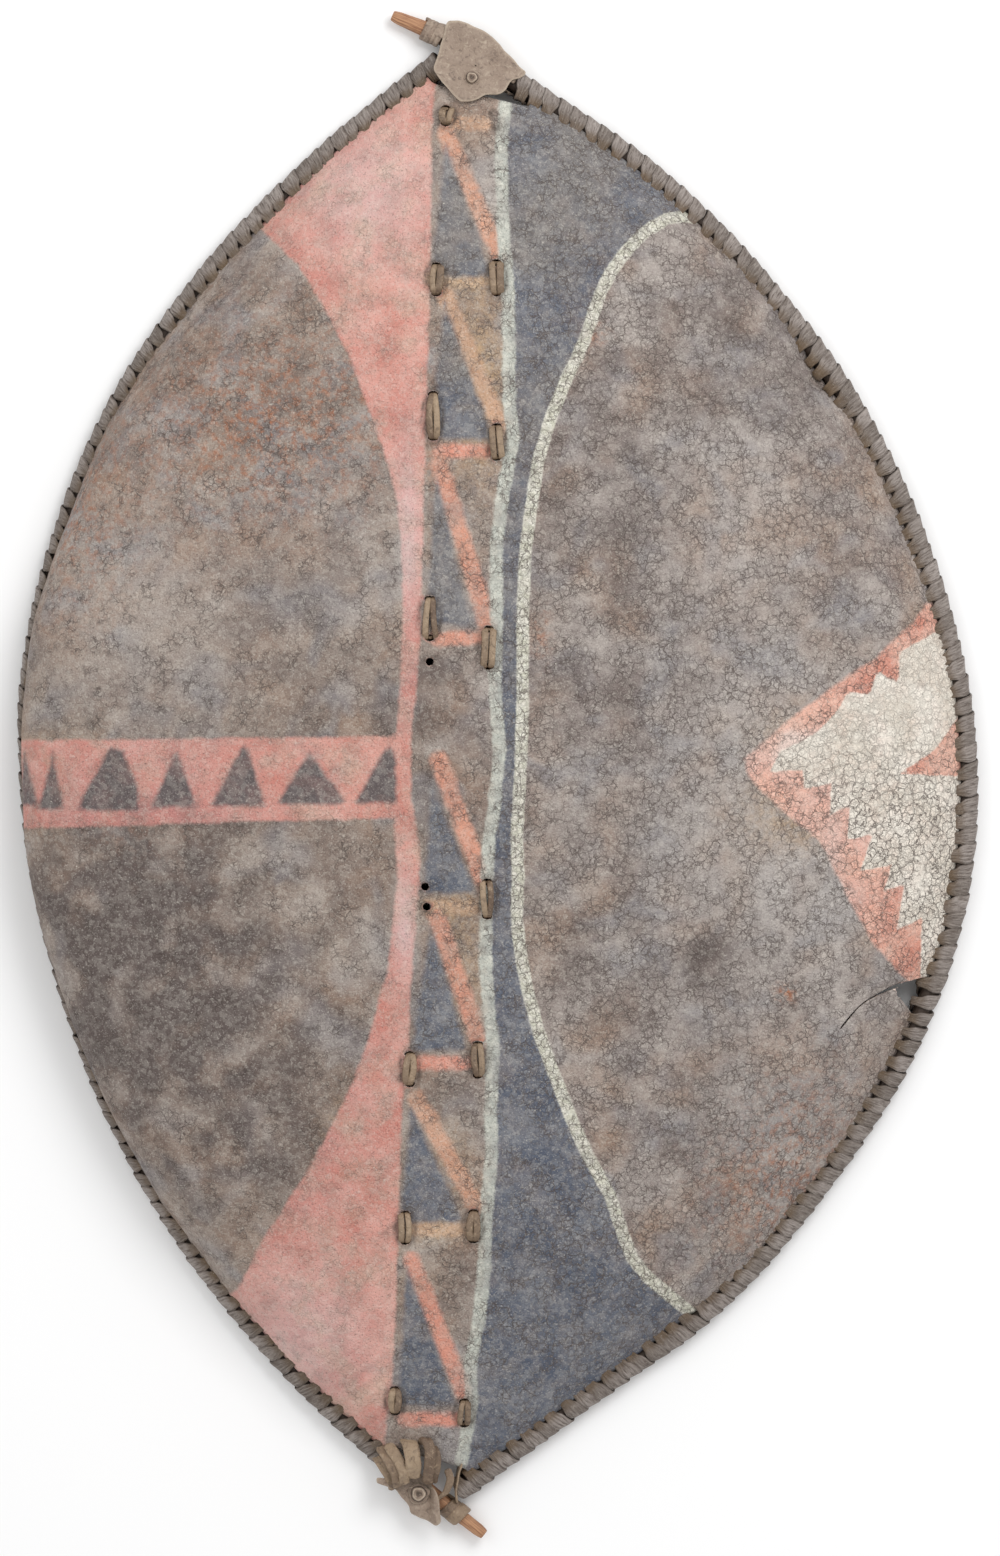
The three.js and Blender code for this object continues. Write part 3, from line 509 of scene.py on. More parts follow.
def hide_relief(xy):
    """Height in mm over the smooth hide: lumps, folds, the dent by the rim and dips under the lacing."""
    height = 1.1 * lattice_noise(xy, 52, 11) + 0.5 * lattice_noise(xy, 21, 12)
    height += 0.22 * lattice_noise(xy, 8, 13)
    for x, y, length, width, turn, pitch, rise in WRINKLES:
        angle = math.radians(turn)
        dx, dy = xy[..., 0] - x, xy[..., 1] - y
        u = dx * math.cos(angle) + dy * math.sin(angle)
        v = dy * math.cos(angle) - dx * math.sin(angle)
        bend = 0.8 * pitch * lattice_noise(xy, 26, 14)
        height += rise * np.sin(2 * np.pi * (v + bend) / pitch) * bell(u / length) * bell(v / width)
    x, y, half_width, half_length, depth = RIM_DENT
    height -= depth * bell((xy[..., 0] - x) / half_width) * bell((xy[..., 1] - y) / half_length)
    for x, y, length in lacing_bars():
        for end in (-0.5, 0.5):
            away = np.hypot(xy[..., 0] - x, xy[..., 1] - y - end * length)
            height -= LACING_DIP * bell(away / 7)
    for x, y in BARE_HOLES:
        height -= 0.8 * bell(np.hypot(xy[..., 0] - x, xy[..., 1] - y) / 6)
    return height


def hide_paint(xy):
    """Distances in mm to the edges of every painted area, positive inside it, soft tone spots (the dark ones
    partly painted shade), and a ring of painted shadow round the lacing bars and the holes.
    """
    dark = signed_distance(xy, WHITE_LINE + TAIL_BEYOND_RIM + WHITE_ARC[::-1] + TIP_BEYOND_RIM)
    for triangle, _, _ in CENTRE_CELLS:
        dark = np.maximum(dark, signed_distance(xy, triangle))
    teeth = np.maximum.reduce([signed_distance(xy, tooth) for tooth in BAND_TEETH])
    red = np.maximum(signed_distance(xy, RED_PANEL), signed_distance(xy, LEFT_BAND))
    stripes = [(path, 5.5, STRIPE_TAN[i]) for i, (_, path, _) in enumerate(CENTRE_CELLS)]
    stripes += [(path, 4.5, BAR_TAN[i]) for i, (_, _, path) in enumerate(CENTRE_CELLS)]
    stripes.append((TOP_BAR, 4.5, 0.8))
    stripe = np.full(xy.shape[:-1], -99.0)
    tan = np.zeros(xy.shape[:-1])
    for path, half, tone in stripes:
        reach = half - path_distance(xy, path)
        tan = np.where(reach > stripe, tone, tan)
        stripe = np.maximum(stripe, reach)
    line = 4.2 - path_distance(xy, WHITE_LINE)
    arc = 3.9 - path_distance(xy, WHITE_ARC)
    cream = np.minimum(signed_distance(xy, FANG_CREAM), -signed_distance(xy, FANG_TONGUE))
    # The ring marks painted shadow round each lacing bar and painted shade in and round the bare holes.
    ring = np.zeros(xy.shape[:-1])
    for x, y, length in lacing_bars():
        away = np.hypot((xy[..., 0] - x) / 6.6, (xy[..., 1] - y) / (length / 2 + 1.2))
        ring = np.maximum(ring, bell((away - 1) / 0.22))
    for x, y in BARE_HOLES:
        ring = np.maximum(ring, smooth_step(4.6, 2.6, np.hypot(xy[..., 0] - x, xy[..., 1] - y)))
    return {
        "dark": dark, "teeth": teeth, "red": red, "stripe": stripe, "tan": tan, "line": line, "arc": arc,
        "fang": signed_distance(xy, FANG_PANEL), "cream": cream, "ring": ring,
        "pale": spots(xy, PALE_SPOTS), "shade": spots(xy, DARK_STAINS_AND_SHADE),
        "rust": spots(xy, RUST_SPOTS), "ochre": spots(xy, OCHRE_SPOTS),
    }


def border(rows, columns):
    """Grid points round the border, counterclockwise, starting at the first point."""
    index = np.arange(rows * columns).reshape(rows, columns)
    return np.concatenate([index[0, :-1], index[:-1, -1], index[-1, :0:-1], index[:0:-1, 0]])


def hide_mesh(material):
    """Closed shell: an outer grid, an inner grid of every second point, and a band round the edge."""
    middle = hide_middle(HIDE_ROWS, HIDE_COLUMNS)
    normals = surface_normals(middle)
    relief = hide_relief(middle[..., :2])[..., None]
    outer = middle + normals * (HIDE_THICKNESS / 2 + relief)
    inner = (middle + normals * (0.7 * relief - HIDE_THICKNESS / 2))[::2, ::2]
    start = HIDE_ROWS * HIDE_COLUMNS
    rows, columns = inner.shape[:2]
    o, i = border(HIDE_ROWS, HIDE_COLUMNS), start + border(rows, columns)
    o_next, o_far, i_next = np.roll(o, -1)[::2], np.roll(o, -2)[::2], np.roll(i, -1)
    o = o[::2]
    faces = [
        grid_faces(HIDE_ROWS, HIDE_COLUMNS), grid_faces(rows, columns, start)[:, ::-1],
        np.stack([o, i, o_next], -1), np.stack([o_next, i, i_next], -1),
        np.stack([o_next, i_next, o_far], -1),
    ]
    points = np.vstack([outer.reshape(-1, 3), inner.reshape(-1, 3)])
    attributes = {key: np.concatenate([field.ravel(), field[::2, ::2].ravel()])
                  for key, field in hide_paint(outer[..., :2]).items()}
    attributes["back"] = np.concatenate([np.zeros(start), np.ones(rows * columns)])
    hide = emit("hide_skin", points, faces, material, attributes)
    cut_holes(hide)
    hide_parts("hide")
    HIDE_FACE["points"] = outer.reshape(-1, 3)
    return hide


HIDE_FACE = {}


def face_height(x, y):
    """Height of the hide's face at one place, from its four nearest points."""
    points = HIDE_FACE["points"]
    away = np.hypot(points[:, 0] - x, points[:, 1] - y)
    near = np.argpartition(away, 4)[:4]
    weight = 1 / (away[near] + 0.01)
    return float((points[near, 2] * weight).sum() / weight.sum())


def ragged(outline, amount, seed):
    """A denser outline whose points wander a little."""
    line = Line(outline, closed=True, per_span=6)
    xy = line.points[:, :2]
    wander = np.random.default_rng(seed).uniform(-amount, amount, xy.shape)
    return (xy + wander)[:-1]


CUT_HEIGHTS = (-5, 130)  # the cutters reach from under the rim to over the boss


def hole_cutter(outline):
    """An upright prism over an outline."""
    n = len(outline)
    points = np.vstack([np.column_stack([outline, np.full(n, z)]) for z in CUT_HEIGHTS])
    return points, [grid_faces(2, n, close_columns=True), np.arange(n)[None, ::-1], n + np.arange(n)[None, :]]


def tear_outline():
    """The line of the tear, widened to both sides and less so towards its inner end."""
    line = np.array(TEAR_LINE, float)
    along = np.gradient(line, axis=0)
    across = unit(np.stack([-along[:, 1], along[:, 0]], -1))
    half = np.linspace(0.7, 0.2, len(line))[:, None]
    return np.vstack([line + across * half, (line - across * half)[::-1]])


def cut_holes(hide):
    """Cuts the lacing holes, the torn corner and its tear through both skins."""
    outlines = [ragged(TORN_CORNER, 0.7, 3), ragged(tear_outline(), 0.08, 4)]
    holes = BARE_HOLES[:THROUGH_HOLES]
    outlines += [ragged(2.6 * oval(8) + hole, 0.15, 5 + i) for i, hole in enumerate(holes)]
    for i, (x, y, length) in enumerate(lacing_bars()):
        for end in (-0.5, 0.5):
            outlines.append(ragged(oval(8) * (3.4, 2.2) + (x, y + end * (length - 1)), 0.25, 40 + i))
    for outline in outlines:
        points, faces = hole_cutter(outline)
        mesh = bpy.data.meshes.new("cutter")
        mesh.from_pydata(((points + PLAN_SHIFT) * MM).tolist(), [], [f for g in faces for f in g.tolist()])
        cutter = bpy.data.objects.new("cutter", mesh)
        bpy.context.scene.collection.objects.link(cutter)
        face_outwards(cutter)
        boolean = hide.modifiers.new("hole", "BOOLEAN")
        boolean.object = cutter
        boolean.operation = "DIFFERENCE"
        boolean.solver = "MANIFOLD"
        apply_modifiers(hide)
        bpy.data.objects.remove(cutter)
        bpy.data.meshes.remove(mesh)


def apply_modifiers(piece):
    """Keeps the mesh that the modifiers give and removes the modifiers."""
    graph = bpy.context.evaluated_depsgraph_get()
    made = bpy.data.meshes.new_from_object(piece.evaluated_get(graph))
    old = piece.data
    piece.modifiers.clear()
    piece.data = made
    bpy.data.meshes.remove(old)


# ---- Rim: rods and binding -----------------------------------------------------------------

TURN_PITCH = 10.8
TURN_STEPS = 28
THONG_HALF_WIDTH = 6.6
THONG_HALF_THICKNESS = 0.8
THONG_POINTS = 14
THONG_TILT = 0.13  # each turn rides up on the one before
WRAP_RADIUS = 7.5
NOSE_REACH = 4.9
NOSE_HALF_ANGLE = 0.32
PINCH_ANGLE = 1.05  # the strip narrows and folds from this angle to the hide's edge
PINCHED_WIDTH = 0.58
FOLD_HEIGHT = 0.7
# Side, x, y, half length, share of the width kept.
WORN_STRETCHES = [(RIGHT, 258, -160, 24, 0.62), (RIGHT, 232, -190, 20, 0.5)]


def binding_mesh(side, material, half_width):
    """A leather strip wound round one rod and through the hide's edge.

    Round each turn the distance from the rod's middle is WRAP_RADIUS + NOSE_REACH
    exp(-(angle / NOSE_HALF_ANGLE)^2), with the angle counted from the direction in which the hide
    leaves the rim. Near that direction the strip is gathered: its width falls to PINCHED_WIDTH and
    lengthwise folds rise across it.
    """
    rod = RODS[side]
    tail, tip = BARE_ENDS[side]
    turns = int((rod.length - tail - tip) / TURN_PITCH)
    pitch = (rod.length - tail - tip) / turns
    rng = np.random.default_rng(20 + side)
    u = np.arange(turns * TURN_STEPS + 1) / TURN_STEPS
    knots = np.arange(turns + 2)
    jitter = np.interp(u, knots, rng.uniform(-0.15, 0.15, turns + 2))
    wide = np.interp(u, knots, rng.uniform(0.86, 1.08, turns + 2))
    puff = np.interp(u, knots, rng.uniform(-0.3, 0.5, turns + 2))
    tone = rng.uniform(0, 1, turns + 2)[np.round(u).astype(int)]
    distance = tail + np.clip((u + jitter) * pitch, 1.5, turns * pitch - 1.5)
    centre, inward = rim_frame(side, distance)
    along = rod.at(distance)[1]
    start, end = hide_span(side)
    lean = lean_angle(side, np.clip((distance - start) / (end - start), 0, 1))[:, None]
    nose = inward * np.cos(lean) + np.array([0, 0, 1]) * np.sin(lean)
    over = -inward * np.sin(lean) + np.array([0, 0, 1]) * np.cos(lean)
    angle = 2 * np.pi * (u % 1)
    angle = np.where(angle > np.pi, angle - 2 * np.pi, angle)
    bump = bell(angle / NOSE_HALF_ANGLE)
    pinch = 1 - smooth_step(0.15, PINCH_ANGLE, np.abs(angle))
    radius = WRAP_RADIUS + NOSE_REACH * bump + puff * (1 - bump)
    out = nose * np.cos(angle)[:, None] + over * np.sin(angle)[:, None]
    path = centre + out * radius[:, None]
    worn = np.ones(len(u))
    for where, x, y, reach, keep in WORN_STRETCHES:
        if where == side:
            away = np.hypot(centre[:, 0] - x, centre[:, 1] - y)
            worn = np.minimum(worn, mix(1, keep, bell(away / reach)))
    sides, ups = frames_along(path, along)
    ups *= np.sign(np.sum(ups * out, axis=1).sum())
    tilt = THONG_TILT * (1 - 0.6 * pinch)[:, None]
    sides, ups = unit(sides + tilt * ups), unit(ups - tilt * sides)
    profile = rounded_bar(THONG_POINTS, 3.5)
    across, rise = profile.T
    width = half_width * wide * worn * mix(1, PINCHED_WIDTH, pinch)
    wander = np.interp(u, knots, rng.uniform(0, 6.28, turns + 2))[:, None]
    folds = FOLD_HEIGHT * (0.25 + pinch)[:, None] * np.sin(across * 7 + wander) * (1 - across**4) * (rise > 0)
    points = (path[:, None] + sides[:, None] * (across * width[:, None])[..., None]
              + ups[:, None] * (rise * THONG_HALF_THICKNESS + folds)[..., None]).reshape(-1, 3)
    _, faces = sweep(path, sides, ups, profile)
    attributes = {"tone": np.repeat(tone, THONG_POINTS), "edge": np.tile(across, len(u)),
                  "nose": np.repeat(pinch, THONG_POINTS), "run": np.repeat(u, THONG_POINTS)}
    name = "right" if side == RIGHT else "left"
    piece = emit(f"binding_strip_{name}", points, faces, material, attributes)
    face_outwards(piece)
    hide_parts(f"binding_{name}")
    return piece


def rod_mesh(side, material):
    """A peeled stick of uneven thickness with rounded ends."""
    rod = RODS[side]
    ends = np.array([0, 0.6, 2])
    between = np.linspace(5, rod.length - 5, 420)
    distance = np.concatenate([ends, between, rod.length - ends[::-1]])
    centre, along = rod.at(distance)
    end = np.minimum(distance, rod.length - distance)
    radius = ROD_RADIUS * np.where(end < 5, mix(0.72, 1, np.sqrt(np.clip(end / 5, 0, 1))), 1)
    thinned = bell(distance / 34) if side == LEFT else bell((rod.length - distance) / 20)
    radius = radius * mix(1, 0.76, thinned)
    radius = radius * (1 + 0.03 * lattice_noise(np.stack([distance, 0 * distance], -1), 30, 31 + side))
    sides, ups = frames_along(centre, np.cross(along, np.array([0, 0, 1.0])))
    points, faces = sweep(centre, sides, ups, oval(16), radius, radius)
    name = "right" if side == RIGHT else "left"
    angle = np.tile(np.arange(16) / 16, len(centre))
    # bare is one where no binding covers the rod; the wood material paints the rest dark brown as painted
    # shade in the notches between the turns.
    bare = smooth_step(70, 45, distance) if side == LEFT else smooth_step(40, 20, rod.length - distance)
    attributes = {"along": np.repeat(distance, 16), "around": angle, "bare": np.repeat(bare, 16)}
    piece = face_outwards(emit(f"rod_{name}", points, faces, material, attributes))
    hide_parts(f"rim_rod_{name}")
    return piece


# ---- Stave and lacing ----------------------------------------------------------------------

def grip_share(y):
    """One along the grip, falling off as a bell beyond both its ends."""
    return bell(np.maximum(np.abs(y - GRIP_Y) - GRIP_HALF_LENGTH, 0) / GRIP_BLEND)


def stave_top(y):
    """Height of the stave's upper face, which follows the ridge from below and is level along the grip."""
    place = np.linspace(0, 1, 400)
    lips = []
    for side in (LEFT, RIGHT):
        tail, tip = hide_span(side)
        centre, inward = rim_frame(side, mix(tail, tip, place))
        lips.append((centre + inward * np.cos(lean_angle(side, place))[:, None] * HIDE_LIP_REACH)[:, 1])
    station = (lips[0] + lips[1]) / 2
    under = ridge_height(place) - HIDE_THICKNESS
    grip = grip_share(y)
    level = mix(np.interp(y, station, under), np.interp(GRIP_Y, station, under), grip)
    return level - STAVE_TO_HIDE - GRIP_DROP * grip


def stave_mesh(material):
    """A long flat stick behind the hide, thinned and lowered along the grip."""
    share = np.linspace(0, 1, 260)
    centre, _ = STAVE.at(share * STAVE.length)
    y = centre[:, 1]
    end = np.clip(6 * np.minimum(share, 1 - share), 0, 1)
    half = mix(mix(STAVE_END_HALF_WIDTH, STAVE_HALF_WIDTH, end), GRIP_HALF_WIDTH, grip_share(y))
    thick = mix(STAVE_THICKNESS, GRIP_THICKNESS, grip_share(y)) / 2
    centre[:, 2] = stave_top(y) - thick
    sides = np.tile([1.0, 0, 0], (len(y), 1))
    ups = np.tile([0, 0, 1.0], (len(y), 1))
    points, faces = sweep(centre, sides, ups, rounded_bar(32, 3.4), half, thick)
    attributes = {"along": np.repeat(y, 32), "around": np.tile(np.arange(32) / 32, len(y)),
                  "bare": np.ones(32 * len(y))}
    piece = face_outwards(emit("stave_stick", points, faces, material, attributes))
    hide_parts("stave")
    return piece


def strap_part(points, half_width, half_height, hint, tone, steps=40, sides_count=12, groove=0.0):
    """A leather strip along a smooth path; with a groove it reads as two strands side by side."""
    line = Line(points, per_span=30)
    centre, _ = line.at(np.linspace(0, line.length, steps))
    sides, ups = frames_along(centre, np.asarray(hint, float))
    profile = rounded_bar(sides_count, 2.6)
    profile[:, 1] *= 1 - groove * bell(profile[:, 0] / 0.25)
    taper = np.minimum(1, 0.55 + np.minimum(np.arange(steps), np.arange(steps)[::-1]) * 0.25)
    part = sweep(centre, sides, ups, profile, half_width * taper, half_height * taper)
    across = np.tile(profile[:, 0], steps)
    run = np.repeat(np.linspace(0, line.length / 10, steps), sides_count)
    return (*part, {"tone": np.full(steps * sides_count, tone), "rim": np.zeros(steps * sides_count),
                    "edge": across, "run": run, "nose": np.zeros(steps * sides_count)})


def lacing_mesh(level, bars, material):
    """Two bars over the hide, their legs through it, and the crossings behind the stave."""
    left = bars[0]
    known = [bar for bar in bars if bar]
    rng = np.random.default_rng(60 + level)
    middle = sum(bar[1] for bar in known) / len(known)
    y = middle + np.linspace(-16, 16, 9)
    back = float((stave_top(y) - mix(STAVE_THICKNESS, GRIP_THICKNESS, grip_share(y))).min()) - 2.0
    parts, ends = [], []
    for x, y, length in known:
        for strand in (-1, 1):
            wander = rng.uniform(-1.1, 1.1, 3)
            path = []
            for step in np.linspace(-1, 1, 7):
                px = x + strand * 2.4 * (1 - 0.2 * step * step) + wander[0] * step + wander[1] * step * step
                py = y + step * (length / 2 - 1.2)
                path.append((px, py, face_height(px, py) + 1.5 - 2.6 * step**6 + 0.5 * (1 - step * step)))
            low = [(p[0], p[1] + s * 1.4, p[2] - 6) for p, s in ((path[0], -1), (path[-1], 1))]
            path = [low[0]] + path + [low[1]]
            parts.append(strap_part(path, rng.uniform(1.8, 2.5), 1.3, (1, 0, 0), rng.uniform(), 44, 12))
        foot = []
        for end in (1, -1):
            py = y + end * (length / 2 - 0.8)
            top = face_height(x, py)
            parts.append(strap_part([(x, py, top - 2), (x, py, (top + back) / 2), (x, py, back)],
                                    2.6, 1.5, (1, 0, 0), rng.uniform(), 16))
            foot.append((x, py, back))
        ends.append(foot)
    for k in (0, 1):
        if len(ends) == 2:
            a, b = ends[0][k], ends[1][k]
        else:
            a = ends[0][k]
            b = (a[0] + (22 if left else -18), a[1], a[2])
        a, b = np.array(a, float), np.array(b, float)
        over = unit(b - a) * 2
        bow = np.array([0, 0, -0.5])
        parts.append(strap_part([a - over, mix(a, b, 0.3) + bow, mix(a, b, 0.7) + bow, b + over],
                                4.2, 1.3, (0, 1, 0), rng.uniform(), 30))
    points, faces, attributes = merge_parts(parts)
    piece = emit(f"lacing_thong_{level}", points, faces, material, attributes)
    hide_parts(f"lacing_{level}")
    return piece


# ---- Leather at the tips -------------------------------------------------------------------

CAP_OUTLINE = [
    (-32, 492), (-27, 492), (-18, 489), (-6, 483), (5, 472), (14, 462), (18, 458), (15, 454.5), (9, 452.5),
    (5, 447), (1, 443.5), (-8, 442.5), (-13, 440), (-21, 438), (-25.5, 438.5), (-33, 447), (-40, 455.5),
    (-42, 460), (-39, 469), (-36, 482), (-34, 490),
]
CAP_THICKNESS = 3
CAP_ROD_SIDE_HEIGHT = 14.6
CAP_SLOPE = 0.46
CAP_FOLD = (30, 92)  # stretch of the right rod, from its tip, that the patch is folded round
CAP_FOLD_RADIUS = 7.6
TIP_KNOT = (-17, 454, 5, 3.5)  # x, y, radius, height
TAB_OUTLINE = [
    (-79, -458), (-71, -459), (-66, -463), (-61, -458), (-54, -456), (-47, -458.5), (-42.5, -464),
    (-39, -469.5), (-38, -480), (-37.5, -487), (-40, -489), (-47, -485.5), (-56, -482), (-58, -477),
    (-63.5, -470), (-67, -465.5), (-73, -462), (-79, -461),
]
TAB_HEIGHT = 14.5
TAB_THICKNESS = 3
TAIL_KNOT = (-51.7, -468.5, 6.6, 4.5)
TIP_WRAP = (21, 15)  # distance from the rod's end, length
TAIL_WRAP = (19, 14)


def patch_part(outline, height, thickness, seed, curl=None, rings=22, around=150):
    """A leather patch: rings of points from its middle to its outline, with rounded edges.

    At a share r of the way out the half thickness is (thickness / 2) sqrt(1 - r^12); broad and fine
    lumps of up to 1.2 mm lift it.
    """
    outline = np.array(outline, float)
    middle = outline.mean(axis=0)
    edge = Line([tuple(p) for p in outline], closed=True, per_span=24)
    edge = edge.at(np.arange(around) / around * edge.length)[0][:, :2]
    edge += 0.45 * np.stack([lattice_noise(edge, 5, seed + 5), lattice_noise(edge, 5, seed + 6)], -1)
    share = np.concatenate([np.linspace(0.02, 0.9, rings), [0.94, 0.97, 0.99, 1.0]])
    xy = middle + (edge - middle)[None] * share[:, None, None]
    half = thickness / 2 * np.sqrt(np.clip(1 - share**12, 0.02, 1))[:, None]
    level = height(xy[..., 0], xy[..., 1])
    level = level + 0.8 * lattice_noise(xy, 14, seed) + 0.35 * lattice_noise(xy, 5, seed + 1)
    if curl is not None:
        level = level + curl(xy[..., 0], xy[..., 1])
    top = np.concatenate([xy, (level + half)[..., None]], -1)
    under = np.concatenate([xy, (level - half)[..., None]], -1)
    n = len(share)
    points = np.vstack([top.reshape(-1, 3), under[::-1].reshape(-1, 3)])
    faces = [grid_faces(2 * n, around, close_columns=True), np.arange(around)[None, :],
             (2 * n - 1) * around + np.arange(around)[None, ::-1]]
    rim = np.repeat(np.concatenate([share, share[::-1]]), around)
    return points, faces, {"tone": np.full(len(points), 0.5), "rim": rim}


def knot_part(x, y, radius, height, bottom, around=36):
    """A stud of folded leather: a flat washer and a crumpled knob on it."""
    rows = [(1.0, 0.0), (1.04, 0.16), (1.0, 0.3), (0.84, 0.36), (0.74, 0.3), (0.7, 0.36),
            (0.7, 0.66), (0.64, 0.88), (0.5, 1.0), (0.36, 0.96), (0.24, 0.8), (0.1, 0.84)]
    circle = oval(around)
    angle = np.arange(around) / around * 2 * np.pi
    points = []
    for i, (r, h) in enumerate(rows):
        lobes = 1 + 0.05 * np.sin(3 * angle + 1) + 0.04 * np.sin(5 * angle + 0.4 * i)
        rise = height * h * (1 + 0.1 * np.sin(2 * angle + 0.5 * i)) if i > 2 else np.full(around, height * h)
        points.append(np.column_stack([circle * (radius * r * lobes)[:, None] + (x, y), bottom + rise]))
    n = len(rows)
    faces = [grid_faces(n, around, close_columns=True), np.arange(around)[None, ::-1],
             (n - 1) * around + np.arange(around)[None, :]]
    # rim: 1 on the rubbed rims; below zero in the groove between washer and knob and in the dip on top, which
    # the leather material paints dark as painted shade.
    rim = np.repeat([0.2, 1.0, 1.0, 0.3, -1.0, -1.0, 0.2, 1.0, 1.0, 0.4, -0.6, -0.6], around)
    return np.vstack(points), faces, {"tone": np.full(n * around, 0.3), "rim": rim}


def cap_rim():
    """Middle of the right rod at the fold's end by the tip, and the level direction inwards."""
    rod = RODS[RIGHT]
    centre, inward = rim_frame(RIGHT, np.array([rod.length - CAP_FOLD[0]]))
    return centre[0], inward[0]


def cap_level(x, y):
    """Middle height of the tip patch: an even slope from the right rod inwards."""
    centre, inward = cap_rim()
    towards = np.maximum((x - centre[0]) * inward[0] + (y - centre[1]) * inward[1], 0)
    return CAP_ROD_SIDE_HEIGHT + CAP_SLOPE * towards + CAP_THICKNESS / 2


FOLD_POINTS = 60  # along the fold, and round its two skins together
FOLD_HALF_ANGLE = 100


def fold_part():
    """The part of the tip patch that is folded round the outer side of the right rod."""
    rod = RODS[RIGHT]
    n = FOLD_POINTS
    distance = rod.length - np.linspace(CAP_FOLD[1], CAP_FOLD[0], n)
    centre, inward = rim_frame(RIGHT, distance)
    turn = np.linspace(FOLD_HALF_ANGLE, -FOLD_HALF_ANGLE, n // 2)
    angle = np.radians(np.concatenate([turn, np.linspace(-FOLD_HALF_ANGLE, FOLD_HALF_ANGLE, n // 2)]))
    share = np.linspace(0, 1, n)
    end = np.clip(np.minimum(share, 1 - share) / 0.06, 0, 1) ** 0.5
    outer = np.where(np.arange(n) < n // 2, CAP_FOLD_RADIUS + 0.9, CAP_FOLD_RADIUS - 0.9)
    grid = np.stack(np.meshgrid(distance, np.degrees(angle) / 5, indexing="ij"), -1)
    swell = 0.5 * lattice_noise(grid, 9, 71)
    radius = CAP_FOLD_RADIUS + (outer - CAP_FOLD_RADIUS)[None, :] * end[:, None] + np.clip(swell, -0.4, 0.4)
    points = (centre[:, None] - inward[:, None] * (radius * np.cos(angle))[..., None]
              + np.array([0, 0, 1]) * (radius * np.sin(angle))[..., None])
    faces = [grid_faces(n, n, close_columns=True), np.arange(n)[None, ::-1],
             (n - 1) * n + np.arange(n)[None, :]]
    return points.reshape(-1, 3), faces, {"tone": np.full(n * n, 0.5), "rim": np.zeros(n * n)}


def tip_leather(material):
    """The patch at the tip, its fold round the right rod, and its stud."""
    parts = [fold_part(), patch_part(CAP_OUTLINE, cap_level, CAP_THICKNESS, 72)]
    pieces = []
    for label, part in zip(("fold", "patch"), parts):
        piece = emit(f"tip_cap_{label}", part[0], part[1], material, part[2])
        pieces.append(face_outwards(piece))
    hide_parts("tip_cap")
    x, y, radius, height = TIP_KNOT
    bottom = float(cap_level(x, y)) + CAP_THICKNESS / 2 - 0.4
    part = knot_part(x, y, radius, height + 1.6, bottom)
    stud = face_outwards(emit("tip_stud", part[0], part[1], material, part[2]))
    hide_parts("tip_knot")
    return [*pieces, stud]


def wound_mesh(name, side, start, length, turns, half_width, replaced, material, slot):
    """A short strip wound round a bare end of a rod, its turns leaning a little."""
    rod = RODS[side]
    u = np.linspace(0, turns, turns * 24)
    distance = start + 1.5 + (length - 3) * u / turns
    centre, along = rod.at(distance)
    level = unit(np.cross(along, np.array([0, 0, 1.0])))
    angle = 2 * np.pi * u
    rng = np.random.default_rng(80)
    puff = np.interp(u, np.arange(turns + 2), rng.uniform(-0.3, 0.5, turns + 2))
    out = level * np.cos(angle)[:, None] + np.array([0, 0, 1.0]) * np.sin(angle)[:, None]
    path = centre + out * (ROD_RADIUS + 1.3 + puff)[:, None]
    sides, ups = frames_along(path, along)
    ups *= np.sign(np.sum(ups * out, axis=1).sum())
    points, faces = sweep(path, sides, ups, rounded_bar(8, 3), half_width, 0.9)
    tone = rng.uniform(0, 1, turns + 2)[np.round(u).astype(int)]
    count = len(points)
    attributes = {"tone": np.repeat(tone, 8), "rim": np.zeros(count), "nose": np.zeros(count),
                  "edge": np.tile(rounded_bar(8, 3)[:, 0], len(u)), "run": np.repeat(u, 8)}
    piece = face_outwards(emit(name, points, faces, material, attributes))
    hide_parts(replaced)
    return piece


# Strips of the tail lashing: points, half width, half thickness, direction across, tone.
TAIL_STRIPS = [
    ([(-72, -436, 22), (-66, -444, 28), (-62, -453, 30), (-61, -462, 24)], 3.6, 1.7, (1, 0.3, 0), 0.8),
    ([(-77, -438, 17), (-71, -446, 26), (-67, -455, 28), (-65, -464, 21)], 3.4, 1.6, (1, 0.6, 0), 0.4),
    ([(-81, -443, 11), (-76, -449, 20), (-71, -457, 22), (-68, -466, 15)], 3.2, 1.5, (1, 0.9, 0), 0.7),
    ([(-60, -432, 22), (-57, -437, 31), (-55, -447, 33), (-56, -458, 25)], 5.2, 1.9, (1, 0, 0), 1.0),
    ([(-51, -437, 22), (-47, -433, 31), (-44, -441, 34), (-45, -452, 31), (-46, -462, 22)],
     3.6, 2.0, (1, -0.2, 0), 0.0),
    ([(-43, -436, 24), (-40, -442, 31), (-40, -451, 30), (-42, -461, 20)], 2.4, 1.5, (1, 0, 0), 0.1),
    ([(-33, -452, 26), (-31, -459, 25), (-34, -467, 21), (-41, -473, 17)], 2.6, 1.4, (1, 0.6, 0), 0.3),
]
TAIL_FLARE = [(-24, -448, 20), (-26.5, -457, 17), (-28, -466, 13), (-27, -473, 9)]


